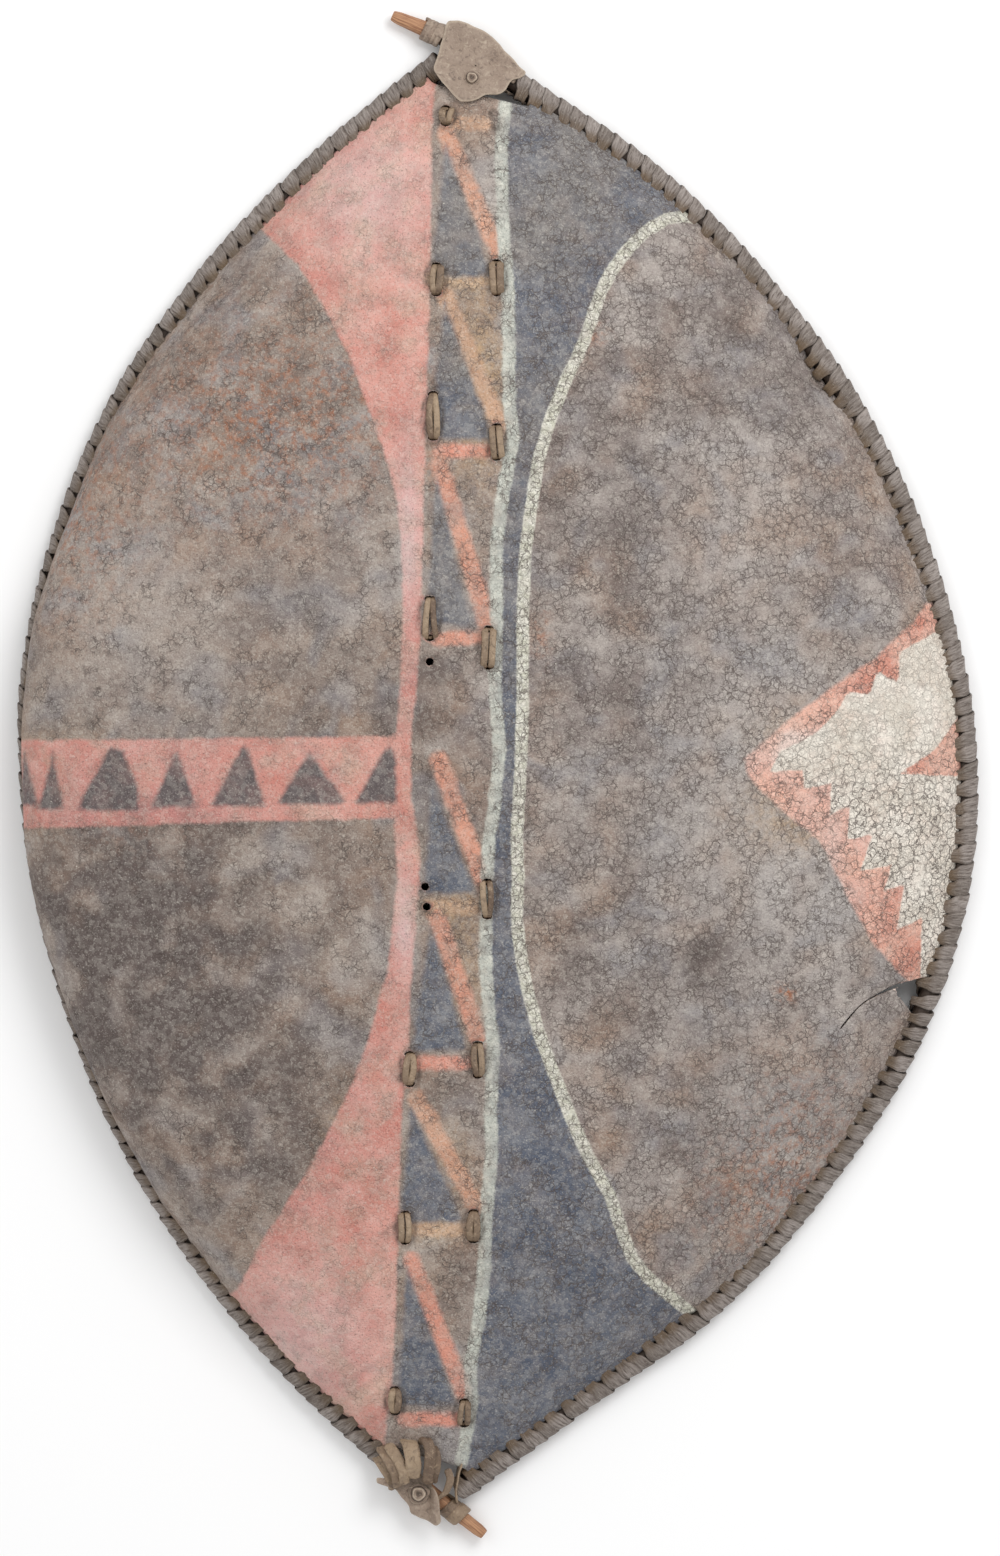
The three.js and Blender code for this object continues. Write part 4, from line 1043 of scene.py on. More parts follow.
def tail_leather(patch_material, thong_material):
    """The knotted strips over the crossing, the flap curled round under the stud, and the stud."""
    parts = [strap_part(*strip, 44, 16, 0.25) for strip in TAIL_STRIPS]
    parts.append(strap_part(TAIL_FLARE, 0.9, 6.5, (1, 0.2, 0), 0.9, 30, 14))
    points, faces, attributes = merge_parts(parts)
    points = points + 0.5 * np.stack([lattice_noise(points, 6, 90 + k) for k in range(3)], -1)
    strap = emit("tail_lashing", points, faces, thong_material, attributes)
    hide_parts("tail_strap")

    def level(x, y):
        return TAB_HEIGHT + TAB_THICKNESS / 2 + 0 * x

    def curl(x, y):
        ridge = 4.5 * bell((x + 40) / 3.2) * smooth_step(-458, -466, y)
        return 6 * smooth_step(-62, -78, x) + ridge - 1.5 * bell((x + 46) / 3)

    part = patch_part(TAB_OUTLINE, level, TAB_THICKNESS, 74, curl)
    tab = face_outwards(emit("tail_flap", part[0], part[1], patch_material, part[2]))
    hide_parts("tail_tab")
    x, y, radius, height = TAIL_KNOT
    part = knot_part(x, y, radius, height + 1, TAB_HEIGHT + TAB_THICKNESS + 0.2)
    stud = face_outwards(emit("tail_stud", part[0], part[1], patch_material, part[2]))
    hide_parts("tail_knot")
    return [strap, tab, stud]


# ---- Materials -----------------------------------------------------------------------------

class Tree:
    """Short ways to add nodes to a node tree; an input may be a socket or a value."""

    def __init__(self, tree):
        self.tree = tree

    def add(self, kind, inputs=None, out=0, **settings):
        """Adds a node with its settings and inputs and returns one output."""
        node = self.tree.nodes.new(kind)
        for key, value in settings.items():
            setattr(node, key, value)
        for key, value in (inputs or {}).items():
            socket = node.inputs[key]
            if isinstance(value, bpy.types.NodeSocket):
                self.tree.links.new(value, socket)
            else:
                socket.default_value = value
        return node.outputs[out]

    def math(self, operation, a, b=0.0, clamp=False):
        """One step of arithmetic."""
        return self.add("ShaderNodeMath", {0: a, 1: b}, operation=operation, use_clamp=clamp)

    def span(self, value, low, high, to_low=0.0, to_high=1.0, smooth=False):
        """The value carried from one range to another and held at its ends."""
        kind = "SMOOTHSTEP" if smooth else "LINEAR"
        inputs = {"Value": value, "From Min": low, "From Max": high, "To Min": to_low, "To Max": to_high}
        return self.add("ShaderNodeMapRange", inputs, interpolation_type=kind)

    def colour(self, factor, a, b, blend="MIX"):
        """Colour a blended into b by a factor."""
        inputs = {0: factor, 6: a, 7: b}
        return self.add("ShaderNodeMix", inputs, 2, data_type="RGBA", blend_type=blend)

    def noise(self, vector, cell, detail=3.0, rough=0.55, out=0, twist=0.0):
        """Noise with cells of the given size in mm."""
        inputs = {"Vector": vector, "Scale": 1 / cell, "Detail": detail, "Roughness": rough,
                  "Distortion": twist}
        return self.add("ShaderNodeTexNoise", inputs, out)

    def field(self, name):
        """A number kept in the mesh."""
        return self.add("ShaderNodeAttribute", out=2, attribute_name=name)

    def millimetres(self):
        """Object coordinates in mm."""
        place = self.add("ShaderNodeTexCoord", out=3)
        return self.add("ShaderNodeVectorMath", {0: place, "Scale": 1 / MM}, operation="SCALE")


def new_material(name):
    """A node material with its Tree and its shader."""
    material = bpy.data.materials.new(name)
    material.use_nodes = True
    tree = Tree(material.node_tree)
    shader = material.node_tree.nodes["Principled BSDF"]
    return material, tree, shader


def new_group(name, inputs, outputs):
    """An empty node group with the given inputs (name: kind, value) and outputs (name: kind)."""
    group = bpy.data.node_groups.new(name, "ShaderNodeTree")
    for label, (kind, value) in inputs.items():
        socket = group.interface.new_socket(label, in_out="INPUT", socket_type=f"NodeSocket{kind}")
        if value is not None:
            socket.default_value = value
    for label, kind in outputs.items():
        group.interface.new_socket(label, in_out="OUTPUT", socket_type=f"NodeSocket{kind}")
    tree = Tree(group)
    source = group.nodes.new("NodeGroupInput")
    sink = group.nodes.new("NodeGroupOutput")
    return group, tree, source.outputs, sink.inputs


def srgb(red, green, blue):
    """Linear colour of an sRGB one given from 0 to 255."""
    values = np.array([red, green, blue]) / 255
    linear = np.where(values <= 0.04045, values / 12.92, ((values + 0.055) / 1.055) ** 2.4)
    return (*(float(v) for v in linear), 1.0)


def worn_paint_group():
    """Mask of a painted area from the distance to its edge: a soft wandering edge, rubbed inside.

    The distance in mm is shifted by Wander mm times the Edge noise before it is turned into a mask
    over Softness mm; Wear takes away that share of the paint where the Patches are.
    """
    group, tree, source, sink = new_group(
        "Worn Paint",
        {"Distance": ("Float", 0.0), "Edge": ("Float", 0.0), "Patches": ("Float", 0.0),
         "Softness": ("Float", 1.2), "Wander": ("Float", 3.0), "Wear": ("Float", 0.3)},
        {"Mask": "Float"})
    moved = tree.math("ADD", source["Distance"], tree.math("MULTIPLY", source["Edge"], source["Wander"]))
    low = tree.math("MULTIPLY", source["Softness"], -1.0)
    edge = tree.span(moved, low, source["Softness"], smooth=True)
    kept = tree.math("SUBTRACT", 1.0, tree.math("MULTIPLY", source["Patches"], source["Wear"]))
    tree.tree.links.new(tree.math("MULTIPLY", edge, kept), sink["Mask"])
    return group


def crack_group():
    """Two broken networks of fine cracks between plates about Cell mm wide, and the plates' low domes."""
    group, tree, source, sink = new_group(
        "Hide Cracks",
        {"Vector": ("Vector", None), "Cell": ("Float", 6.0), "Spread": ("Float", 0.5)},
        {"Cracks": "Float", "Domes": "Float", "Plate": "Float"})
    vector, cell = source["Vector"], source["Cell"]
    warp = tree.add("ShaderNodeVectorMath", {0: tree.noise(vector, 3.0, 2, out=1), 1: (0.5, 0.5, 0.5)},
                    operation="SUBTRACT")
    warp = tree.add("ShaderNodeVectorMath", {0: warp, "Scale": 5.5}, operation="SCALE")
    bent = tree.add("ShaderNodeVectorMath", {0: vector, 1: warp}, operation="ADD")
    first = tree.math("DIVIDE", 1.0, cell)
    second = tree.math("DIVIDE", 2.4, cell)
    settings = {"feature": "DISTANCE_TO_EDGE"}
    wide = tree.add("ShaderNodeTexVoronoi", {"Vector": bent, "Scale": first}, "Distance", **settings)
    small = tree.add("ShaderNodeTexVoronoi", {"Vector": bent, "Scale": second}, "Distance", **settings)
    plate = tree.add("ShaderNodeTexVoronoi", {"Vector": bent, "Scale": second}, "Color")
    edge = tree.math("SUBTRACT", 0.72, tree.math("MULTIPLY", source["Spread"], 0.5))
    patchy = tree.noise(vector, 13, 2)
    gate = tree.span(patchy, tree.math("SUBTRACT", edge, 0.12), tree.math("ADD", edge, 0.1))
    line = tree.math("MULTIPLY", tree.span(wide, 0.015, 0.07, 1, 0), gate)
    hair = tree.math("MULTIPLY", tree.span(small, 0.02, 0.12, 0.45, 0), tree.span(gate, 0.2, 1, 0.2, 1))
    tree.tree.links.new(tree.math("MAXIMUM", line, hair), sink["Cracks"])
    tree.tree.links.new(tree.span(small, 0, 0.3), sink["Domes"])
    tree.tree.links.new(tree.add("ShaderNodeSeparateColor", {"Color": plate}), sink["Plate"])
    return group


def use_group(tree, group, inputs):
    """Adds a node group to a tree and returns its outputs."""
    node = tree.tree.nodes.new("ShaderNodeGroup")
    node.node_tree = group
    for key, value in inputs.items():
        if isinstance(value, bpy.types.NodeSocket):
            tree.tree.links.new(value, node.inputs[key])
        else:
            node.inputs[key].default_value = value
    return node.outputs


def connect_bump(tree, shader, height, strength=1.0):
    """Height in mm into the shader's normal."""
    bump = tree.add("ShaderNodeBump", {"Height": height, "Distance": MM, "Strength": strength}, "Normal")
    tree.tree.links.new(bump, shader.inputs["Normal"])


def hide_material(paint, paint_group, cracks_group):
    """Weathered rawhide under worn earth paints; every mask comes from a distance kept in the mesh."""
    material, tree, shader = new_material("painted_hide")
    place = tree.millimetres()
    side = tree.span(tree.add("ShaderNodeSeparateXYZ", {0: place}), -50, 60)
    big = tree.noise(place, 75, 4, 0.6)
    middle = tree.noise(place, 24, 1, 0.35)
    small = tree.noise(place, 5, 3, 0.6)
    fine = tree.noise(place, 1.1, 1, 0.5)

    left = tree.colour(tree.span(big, 0.35, 0.65), srgb(122, 104, 94), (*paint.ground_left, 1))
    right = tree.colour(tree.span(big, 0.35, 0.65), srgb(130, 118, 113), (*paint.ground, 1))
    ground = tree.colour(side, left, right)
    warm = tree.span(tree.noise(place, 42, 2, 0.4), 0.46, 0.68, 0, 0.75)
    ground = tree.colour(warm, ground, srgb(150, 122, 102))
    cool = tree.span(tree.noise(place, 31, 1, 0.4, twist=0.6), 0.5, 0.7, 0, 0.65)
    ground = tree.colour(cool, ground, srgb(128, 126, 130))
    ground = tree.colour(tree.span(middle, 0.5, 0.75, 0, 0.45), ground, srgb(104, 88, 80))
    ground = tree.colour(tree.span(middle, 0.45, 0.25, 0, 0.45), ground, srgb(186, 176, 168))
    wide_spots = tree.span(middle, 0.35, 0.62, 0.4, 1.3)
    pale = tree.math("MULTIPLY", tree.field("pale"), wide_spots, True)
    # The shade field darkens the ground and the red: dark stains, and painted shade low on the left half.
    shade = tree.math("MULTIPLY", tree.field("shade"), wide_spots, True)
    rust = tree.math("MULTIPLY", tree.field("rust"), tree.span(small, 0.45, 0.65, 0, 1.2), True)
    ochre = tree.math("MULTIPLY", tree.field("ochre"), tree.span(small, 0.35, 0.65, 0.3, 1.2), True)
    ground = tree.colour(pale, ground, srgb(186, 180, 176))
    ground = tree.colour(shade, ground, srgb(92, 80, 76))
    ground = tree.colour(rust, ground, srgb(160, 104, 74))
    ground = tree.colour(ochre, ground, srgb(182, 150, 114))

    wide_edge = tree.math("SUBTRACT", tree.noise(place, 9, 3), 0.5)
    edge = tree.math("ADD", wide_edge, tree.math("MULTIPLY", tree.math("SUBTRACT", fine, 0.5), 0.25))
    patches = tree.span(tree.noise(place, 16, 4, 0.6), 0.44, 0.68)

    def mask(field, softness, wander, wear):
        inputs = {"Distance": tree.field(field), "Edge": edge, "Patches": patches, "Softness": softness,
                  "Wander": wander, "Wear": wear}
        return use_group(tree, paint_group, inputs)["Mask"]

    red = tree.colour(tree.span(middle, 0.35, 0.65), (*paint.red, 1), srgb(216, 158, 144))
    red = tree.colour(tree.span(tree.field("pale"), 0, 1), red, srgb(216, 188, 186))
    red = tree.colour(tree.span(tree.noise(place, 26, 4, 0.6), 0.5, 0.7, 0, 0.6), red, srgb(204, 176, 156))
    red = tree.colour(shade, red, srgb(176, 112, 108))
    tan = tree.colour(tree.span(middle, 0.35, 0.65), srgb(204, 170, 138), srgb(176, 146, 116))
    blue = tree.colour(tree.span(middle, 0.38, 0.66), (*paint.dark, 1), srgb(104, 108, 118))
    upper = tree.span(tree.add("ShaderNodeSeparateXYZ", {0: place}, 1), -150, 250, 0, 0.6)
    blue = tree.colour(tree.math("MULTIPLY", tree.span(big, 0.4, 0.6), upper), blue, srgb(134, 126, 118))
    stripe = tree.colour(tree.field("tan"), srgb(216, 142, 122), tan)
    orange = tree.colour(tree.span(middle, 0.35, 0.65), (*paint.orange, 1), srgb(208, 138, 118))
    orange = tree.colour(tree.span(pale, 0.2, 0.9, 0, 0.75), orange, srgb(236, 218, 208))
    line = tree.colour(tree.span(small, 0.5, 0.62), srgb(186, 188, 178), srgb(206, 206, 194))
    arc = tree.colour(tree.span(small, 0.45, 0.6), (*paint.arc, 1), srgb(224, 222, 208))
    cream = tree.colour(tree.span(middle, 0.4, 0.65), (*paint.cream, 1), srgb(236, 228, 216))

    red_mask = mask("red", 1.6, 3.5, 0.4)
    colour = tree.colour(red_mask, ground, red)
    colour = tree.colour(mask("teeth", 2.2, 4.0, 0.2), colour, srgb(92, 82, 82))
    colour = tree.colour(mask("stripe", 2.4, 5.0, 0.5), colour, stripe)
    colour = tree.colour(mask("dark", 2.6, 4.5, 0.3), colour, blue)
    colour = tree.colour(mask("line", 1.2, 3.5, 0.55), colour, line)
    colour = tree.colour(mask("arc", 0.9, 2.2, 0.35), colour, arc)
    colour = tree.colour(mask("fang", 1.8, 4.0, 0.15), colour, orange)
    cream_mask = mask("cream", 0.9, 3.0, 0.15)
    colour = tree.colour(cream_mask, colour, cream)

    painted = tree.math("MAXIMUM", cream_mask, tree.span(tree.field("arc"), -1, 1))
    plates = tree.span(tree.add("ShaderNodeSeparateXYZ", {0: place}, 1), 40, -20, 0.35, 1)
    spread = tree.math("MAXIMUM", tree.span(side, 0, 1, 0.36, 0.56), tree.math("MULTIPLY", painted, 0.8))
    cracks = use_group(tree, cracks_group, {"Vector": place, "Cell": 6.5, "Spread": spread})
    bare = tree.span(red_mask, 0, 1, 1, 0.35)
    lines = tree.math("MULTIPLY", cracks["Cracks"], bare)
    light_plates = tree.span(cracks["Plate"], 0.3, 1, 0, 1)
    light_plates = tree.math("MULTIPLY", light_plates, tree.span(painted, 0, 1, 0.16, 0.6))
    colour = tree.colour(light_plates, colour, srgb(226, 220, 208))
    shown = tree.span(cream_mask, 0, 1, 0.8, tree.math("MULTIPLY", plates, 0.9))
    colour = tree.colour(tree.math("MULTIPLY", lines, shown), colour, srgb(80, 68, 62))
    colour = tree.colour(tree.span(fine, 0.6, 0.75, 0, 0.35), colour, srgb(214, 206, 196))
    colour = tree.colour(tree.span(fine, 0.4, 0.25, 0, 0.5), colour, srgb(66, 56, 52))
    flecks = tree.span(tree.noise(place, 2.4, 2, 0.7), 0.72, 0.78, 0, 0.7)
    colour = tree.colour(flecks, colour, srgb(220, 214, 200))
    # Painted shadow: the ring round the lacing bars and the holes is darkened to a dark brown.
    painted_shadow_ring = tree.math("MULTIPLY", tree.field("ring"), tree.span(small, 0.3, 0.6, 0.3, 0.85))
    colour = tree.colour(painted_shadow_ring, colour, srgb(70, 58, 50))
    back = tree.colour(tree.span(middle, 0.3, 0.7), srgb(160, 134, 102), srgb(128, 104, 80))
    colour = tree.colour(tree.field("back"), colour, back)
    tree.tree.links.new(colour, shader.inputs["Base Color"])
    tree.tree.links.new(tree.span(small, 0.3, 0.7, 0.62, 0.82), shader.inputs["Roughness"])

    height = tree.math("MULTIPLY", lines, -0.35)
    height = tree.math("ADD", height, tree.math("MULTIPLY", cracks["Domes"], 0.22))
    height = tree.math("ADD", height, tree.math("MULTIPLY", small, 0.7))
    height = tree.math("ADD", height, tree.math("MULTIPLY", fine, 0.45))
    connect_bump(tree, shader, height)
    return material


def binding_material(looks):
    """Dry grey strip with streaks along it, browner and darker where it is gathered at the hide's edge."""
    material, tree, shader = new_material("binding")
    place = tree.millimetres()
    across = tree.math("MULTIPLY", tree.field("edge"), 5.0)
    run = tree.math("MULTIPLY", tree.field("run"), 6.0)
    streaks = tree.noise(tree.add("ShaderNodeCombineXYZ", {0: across, 1: run}), 1.0, 3, 0.6)
    middle = tree.noise(place, 14, 3, 0.6)
    fine = tree.noise(place, 1.1, 2, 0.6)
    tone = tree.math("MULTIPLY", tree.field("tone"), 0.5)
    tone = tree.math("ADD", tone, tree.math("MULTIPLY", middle, 0.6))
    colour = tree.colour(tree.span(tone, 0.2, 0.85), srgb(112, 102, 94), (*looks.binding, 1))
    colour = tree.colour(tree.span(streaks, 0.54, 0.34, 0, 0.75), colour, srgb(78, 64, 54))
    colour = tree.colour(tree.span(streaks, 0.56, 0.72, 0, 0.5), colour, srgb(184, 174, 166))
    gathered = tree.math("MULTIPLY", tree.field("nose"), tree.span(middle, 0.3, 0.6, 0.4, 1))
    colour = tree.colour(gathered, colour, srgb(104, 84, 62))
    rim = tree.span(tree.math("ABSOLUTE", tree.field("edge")), 0.86, 1.0, 0, 0.55)
    colour = tree.colour(rim, colour, srgb(70, 58, 50))
    colour = tree.colour(tree.span(fine, 0.6, 0.75, 0, 0.4), colour, srgb(192, 182, 170))
    tree.tree.links.new(colour, shader.inputs["Base Color"])
    shader.inputs["Roughness"].default_value = 0.7
    height = tree.math("ADD", tree.math("MULTIPLY", streaks, 2.0), tree.math("MULTIPLY", fine, 0.25))
    connect_bump(tree, shader, height)
    return material


def leather_material(name, dark, light, rubbed, roughness=0.6):
    """Old stiff leather: uneven tone, cracks and grain, and rims rubbed light; hollows painted dark as
    painted shade.
    """
    material, tree, shader = new_material(name)
    place = tree.millimetres()
    middle = tree.noise(place, 11, 4, 0.6)
    small = tree.noise(place, 3.2, 3, 0.6, twist=0.8)
    fine = tree.noise(place, 1.1, 2, 0.6)
    tone = tree.math("MULTIPLY", tree.field("tone"), 0.55)
    tone = tree.math("ADD", tone, tree.math("MULTIPLY", middle, 0.6))
    colour = tree.colour(tree.span(tone, 0.25, 0.85), dark, light)
    colour = tree.colour(tree.span(small, 0.45, 0.3, 0, 0.6), colour, tuple(0.4 * c for c in dark[:3]) + (1,))
    colour = tree.colour(tree.span(small, 0.56, 0.72, 0, 0.5), colour, rubbed)
    colour = tree.colour(tree.span(tree.field("rim"), 0.93, 1.0, 0, 0.6), colour, rubbed)
    # Painted shade: where rim is below zero, in the studs' groove and top dip, the colour is painted dark.
    colour = tree.colour(tree.span(tree.field("rim"), 0, -0.8, 0, 0.85), colour, srgb(58, 46, 38))
    colour = tree.colour(tree.span(fine, 0.6, 0.75, 0, 0.4), colour, rubbed)
    tree.tree.links.new(colour, shader.inputs["Base Color"])
    shader.inputs["Roughness"].default_value = roughness
    height = tree.math("ADD", tree.math("MULTIPLY", fine, 0.3), tree.math("MULTIPLY", small, 1.1))
    height = tree.math("ADD", height, tree.math("MULTIPLY", middle, 1.2))
    connect_bump(tree, shader, height)
    return material


def wood_material(name, dark, light, grain_scale):
    """Peeled stick: long fibres from noise stretched along it, with darker patches; where the binding covers
    it, painted dark brown as painted shade.
    """
    material, tree, shader = new_material(name)
    along = tree.math("MULTIPLY", tree.field("along"), 0.06)
    angle = tree.math("MULTIPLY", tree.field("around"), 2 * math.pi)
    vector = tree.add("ShaderNodeCombineXYZ", {
        0: tree.math("MULTIPLY", tree.math("COSINE", angle), grain_scale),
        1: tree.math("MULTIPLY", tree.math("SINE", angle), grain_scale), 2: along})
    fibre = tree.noise(vector, 1.0, 4, 0.65)
    colour = tree.colour(tree.span(fibre, 0.35, 0.65), dark, light)
    colour = tree.colour(tree.span(tree.noise(tree.millimetres(), 12, 4), 0.55, 0.75, 0, 0.5), colour, dark)
    # Painted shade: where bare is zero, under the binding, the wood is painted dark brown to stand for the
    # deep shadow in the notches.
    colour = tree.colour(tree.field("bare"), srgb(66, 52, 42), colour)
    tree.tree.links.new(colour, shader.inputs["Base Color"])
    shader.inputs["Roughness"].default_value = 0.62
    connect_bump(tree, shader, tree.math("MULTIPLY", fibre, 0.5))
    return material


def thong_material(looks):
    """Brown leather of the lacing and of the tail's strips."""
    return leather_material("thong", srgb(104, 84, 68), (*looks.thong, 1), srgb(190, 168, 142))


# ---- Stage ---------------------------------------------------------------------------------

CAMERA_HEIGHT = 6.0  # metres over the floor, straight above the shield
FRAME_LENGTH = 1.0176  # metres of the floor from the top to the bottom of the view
FRAME_MIDDLE = (0.0041, -0.0023)
# Name, place, size, watts.
AREA_LIGHTS = [("key", (0.9, 1.2, 1.9), 1.2, 26), ("fill", (-1.5, 0.4, 2.2), 2.0, 8)]


def make_floor(colour):
    """A pale floor under the shield."""
    half = 6
    mesh = bpy.data.meshes.new("floor")
    corners = [(-half, -half, 0), (half, -half, 0), (half, half, 0), (-half, half, 0)]
    mesh.from_pydata(corners, [], [(0, 1, 2, 3)])
    floor = bpy.data.objects.new("floor", mesh)
    bpy.context.scene.collection.objects.link(floor)
    material, _, shader = new_material("floor_white")
    shader.inputs["Base Color"].default_value = (*colour, 1)
    shader.inputs["Roughness"].default_value = 0.7
    mesh.materials.append(material)
    floor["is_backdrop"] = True


def make_camera():
    """A camera straight above the shield that sees FRAME_LENGTH of the floor."""
    data = bpy.data.cameras.new("camera")
    camera = bpy.data.objects.new("camera", data)
    bpy.context.scene.collection.objects.link(camera)
    camera.location = (*FRAME_MIDDLE, CAMERA_HEIGHT)
    data.sensor_fit = "VERTICAL"
    data.sensor_height = 36
    data.lens = 36 * CAMERA_HEIGHT / FRAME_LENGTH
    data.clip_end = 20
    bpy.context.scene.camera = camera


def make_lights(strength):
    """Even white surroundings and the area lights, each turned towards the shield."""
    world = bpy.data.worlds.new("studio")
    bpy.context.scene.world = world
    world.use_nodes = True
    background = world.node_tree.nodes["Background"]
    background.inputs["Color"].default_value = (1, 1, 1, 1)
    background.inputs["Strength"].default_value = 0.75 * strength
    for name, place, size, power in AREA_LIGHTS:
        data = bpy.data.lights.new(name, "AREA")
        data.size = size
        data.energy = power * strength
        light = bpy.data.objects.new(name, data)
        bpy.context.scene.collection.objects.link(light)
        light.location = place
        light.rotation_euler = (-Vector(place)).to_track_quat("-Z", "Y").to_euler()


# ---- Add-on --------------------------------------------------------------------------------

def colour_property(name, description, value):
    """A colour setting whose default is given from 0 to 255."""
    return bpy.props.FloatVectorProperty(
        name=name, description=description, subtype="COLOR", size=3, min=0, max=1, default=srgb(*value)[:3])


class HideShieldPaint(bpy.types.PropertyGroup):
    """Colours of the hide and its paints."""

    ground: colour_property("Hide", "Bare hide on the right half", (168, 158, 152))
    ground_left: colour_property("Hide, left", "Bare hide on the left half", (158, 141, 128))
    red: colour_property("Red", "Red earth paint", (196, 126, 112))
    dark: colour_property("Dark blue", "Blue-black paint", (80, 87, 102))
    cream: colour_property("Cream", "Cream paint of the fanged panel", (220, 210, 196))
    orange: colour_property("Orange", "Orange paint round the cream", (230, 178, 158))
    arc: colour_property("Arc", "Pale curved line", (204, 202, 184))


class HideShieldLeather(bpy.types.PropertyGroup):
    """Sizes and colours of the strips, patches and sticks."""

    half_width: bpy.props.FloatProperty(
        name="Strip half width", description="Half width of the strip wound round the rim",
        subtype="DISTANCE", unit="LENGTH", default=THONG_HALF_WIDTH * MM, min=0.003, max=0.009)
    binding: colour_property("Binding", "Light tone of the wound strip", (158, 148, 142))
    thong: colour_property("Thongs", "Light tone of the lacing and lashings", (158, 136, 112))
    patch: colour_property("Patches", "Light tone of the patches at the tips", (164, 146, 130))
    wood: colour_property("Wood", "Light tone of the bare sticks", (196, 150, 112))


class HideShieldStage(bpy.types.PropertyGroup):
    """Floor and light."""

    floor: colour_property("Floor", "Colour of the floor", (249, 249, 249))
    strength: bpy.props.FloatProperty(
        name="Light", description="Strength of all the light", default=1.0, min=0.1, max=3.0)


class HIDESHIELD_OT_hide(bpy.types.Operator):
    """Build the painted hide"""

    bl_idname = "hide_shield.hide"
    bl_label = "Hide"

    def execute(self, context):
        paint = context.scene.hide_shield_paint
        hide_mesh(hide_material(paint, worn_paint_group(), crack_group()))
        return {"FINISHED"}


class HIDESHIELD_OT_rim(bpy.types.Operator):
    """Build the two rods of the rim and the strips wound round them"""

    bl_idname = "hide_shield.rim"
    bl_label = "Rim"

    def execute(self, context):
        looks = context.scene.hide_shield_leather
        leather = binding_material(looks)
        wood = wood_material("rod", srgb(132, 88, 62), (*looks.wood, 1), 5)
        for side in (RIGHT, LEFT):
            binding_mesh(side, leather, looks.half_width / MM)
            rod_mesh(side, wood)
        return {"FINISHED"}


class HIDESHIELD_OT_stave(bpy.types.Operator):
    """Build the stave behind the hide"""

    bl_idname = "hide_shield.stave"
    bl_label = "Stave"

    def execute(self, context):
        looks = context.scene.hide_shield_leather
        stave_mesh(wood_material("stave", srgb(132, 88, 62), (*looks.wood, 1), 5))
        return {"FINISHED"}


class HIDESHIELD_OT_lacing(bpy.types.Operator):
    """Build the eight levels of lacing; the hide must be there"""

    bl_idname = "hide_shield.lacing"
    bl_label = "Lacing"

    def execute(self, context):
        if "points" not in HIDE_FACE:
            raise RuntimeError("build the hide before the lacing")
        thong = thong_material(context.scene.hide_shield_leather)
        for level, bars in enumerate(LACING, 1):
            lacing_mesh(level, bars, thong)
        return {"FINISHED"}


class HIDESHIELD_OT_tips(bpy.types.Operator):
    """Build the patches, studs and windings at the top and bottom tips"""

    bl_idname = "hide_shield.tips"
    bl_label = "Tips"

    def execute(self, context):
        looks = context.scene.hide_shield_leather
        patch = leather_material("patch", srgb(122, 102, 88), (*looks.patch, 1), srgb(196, 180, 160))
        thong = thong_material(looks)
        tip_leather(patch)
        start = RODS[RIGHT].length - sum(TIP_WRAP)
        wound_mesh("tip_winding", RIGHT, start, TIP_WRAP[1], 6, 1.8, "tip_wrap", patch, "binding_leather")
        wound_mesh("tail_winding", LEFT, *TAIL_WRAP, 2, 4.2, "tail_wrap", thong, "thong_leather")
        tail_leather(patch, thong)
        return {"FINISHED"}


class HIDESHIELD_OT_stage(bpy.types.Operator):
    """Set up the floor, the light and the camera"""

    bl_idname = "hide_shield.stage"
    bl_label = "Stage"

    def execute(self, context):
        stage = context.scene.hide_shield_stage
        make_floor(stage.floor)
        make_lights(stage.strength)
        make_camera()
        context.scene.view_settings.view_transform = "Standard"
        return {"FINISHED"}


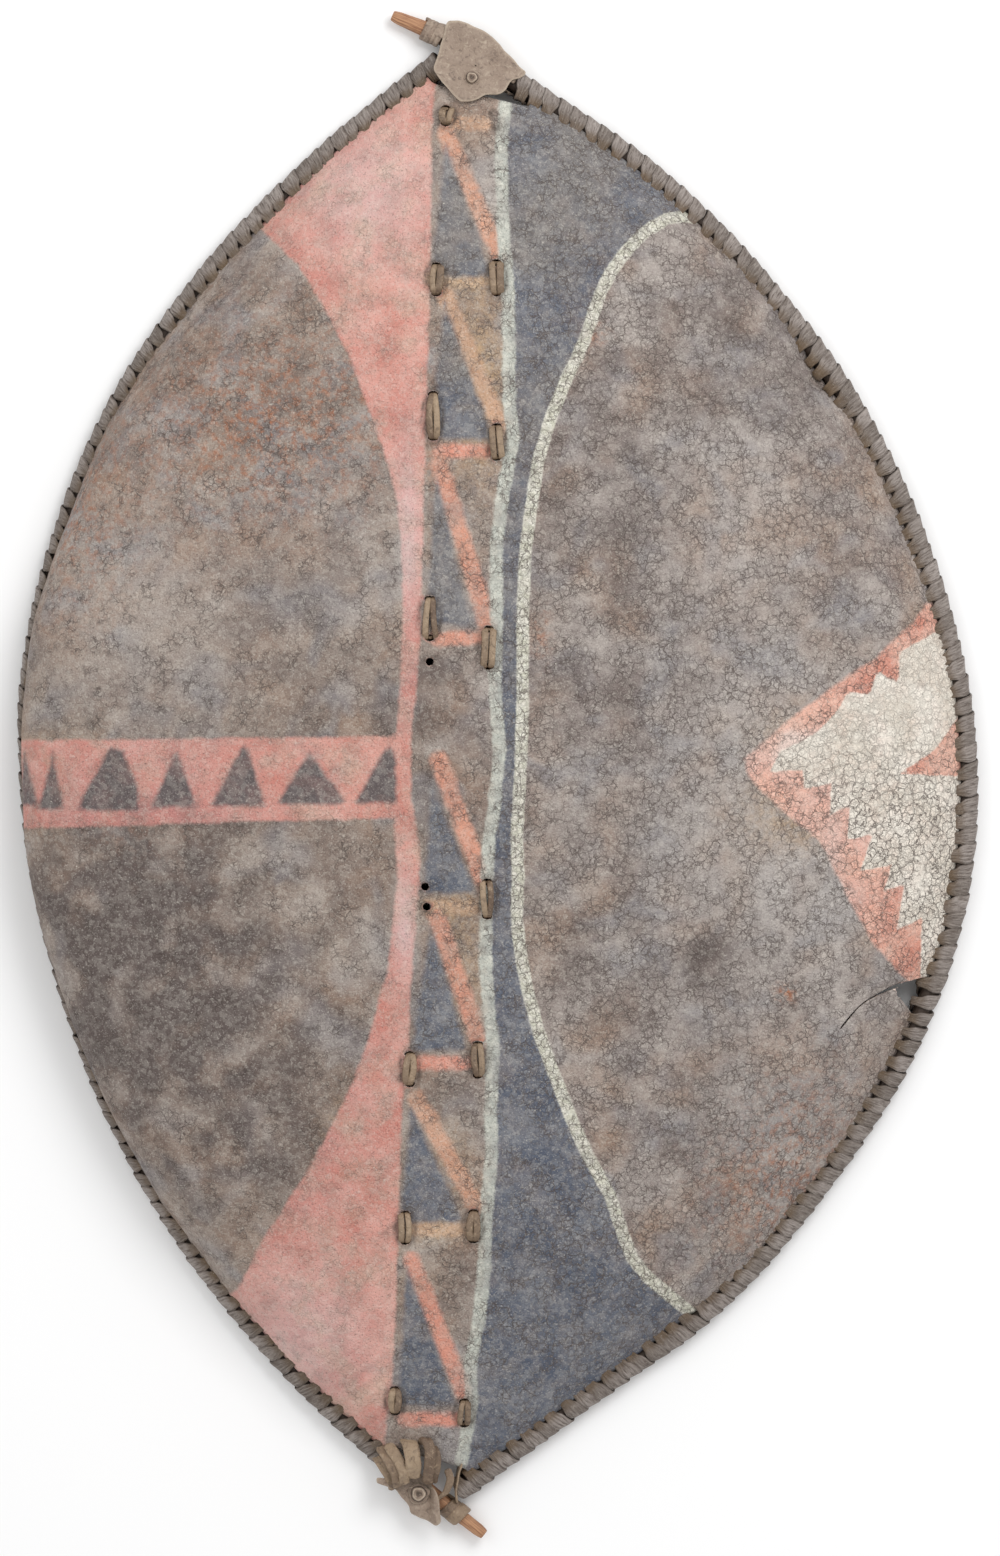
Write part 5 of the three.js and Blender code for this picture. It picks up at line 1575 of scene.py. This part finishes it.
OPERATORS = (
    HIDESHIELD_OT_hide, HIDESHIELD_OT_rim, HIDESHIELD_OT_stave, HIDESHIELD_OT_lacing, HIDESHIELD_OT_tips,
    HIDESHIELD_OT_stage,
)
GROUPS = (HideShieldPaint, HideShieldLeather, HideShieldStage)


class HIDESHIELD_PT_panel(bpy.types.Panel):
    """Settings and build steps of the shield"""

    bl_idname = "HIDESHIELD_PT_panel"
    bl_label = "Hide Shield"
    bl_space_type = "VIEW_3D"
    bl_region_type = "UI"
    bl_category = "Hide Shield"

    def draw(self, context):
        scene = context.scene
        for settings in (scene.hide_shield_paint, scene.hide_shield_leather, scene.hide_shield_stage):
            box = self.layout.box()
            for key in settings.bl_rna.properties.keys():
                if key not in ("rna_type", "name"):
                    box.prop(settings, key)
        for operator in OPERATORS:
            self.layout.operator(operator.bl_idname)


def register():
    """Adds the settings, the steps and the panel."""
    for cls in (*GROUPS, *OPERATORS, HIDESHIELD_PT_panel):
        bpy.utils.register_class(cls)
    bpy.types.Scene.hide_shield_paint = bpy.props.PointerProperty(type=HideShieldPaint)
    bpy.types.Scene.hide_shield_leather = bpy.props.PointerProperty(type=HideShieldLeather)
    bpy.types.Scene.hide_shield_stage = bpy.props.PointerProperty(type=HideShieldStage)


def unregister():
    """Removes what register() adds."""
    del bpy.types.Scene.hide_shield_stage
    del bpy.types.Scene.hide_shield_leather
    del bpy.types.Scene.hide_shield_paint
    for cls in (HIDESHIELD_PT_panel, *reversed(OPERATORS), *reversed(GROUPS)):
        bpy.utils.unregister_class(cls)


def plain(bounds):
    """Bounds as nested plain lists."""
    if isinstance(bounds, dict):
        return {key: plain(value) for key, value in bounds.items()}
    if hasattr(bounds, "__len__") and not isinstance(bounds, str):
        return [plain(value) for value in bounds]
    return bounds


def main():
    """Builds the shield and the stage."""
    register()
    bpy.ops.hide_shield.hide()
    bpy.ops.hide_shield.rim()
    bpy.ops.hide_shield.stave()
    bpy.ops.hide_shield.lacing()
    bpy.ops.hide_shield.tips()
    bpy.ops.hide_shield.stage()
    {"cad": plain(CAD_BOUNDS), "visual": plain(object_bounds())}


if __name__ == "__main__":
    main()
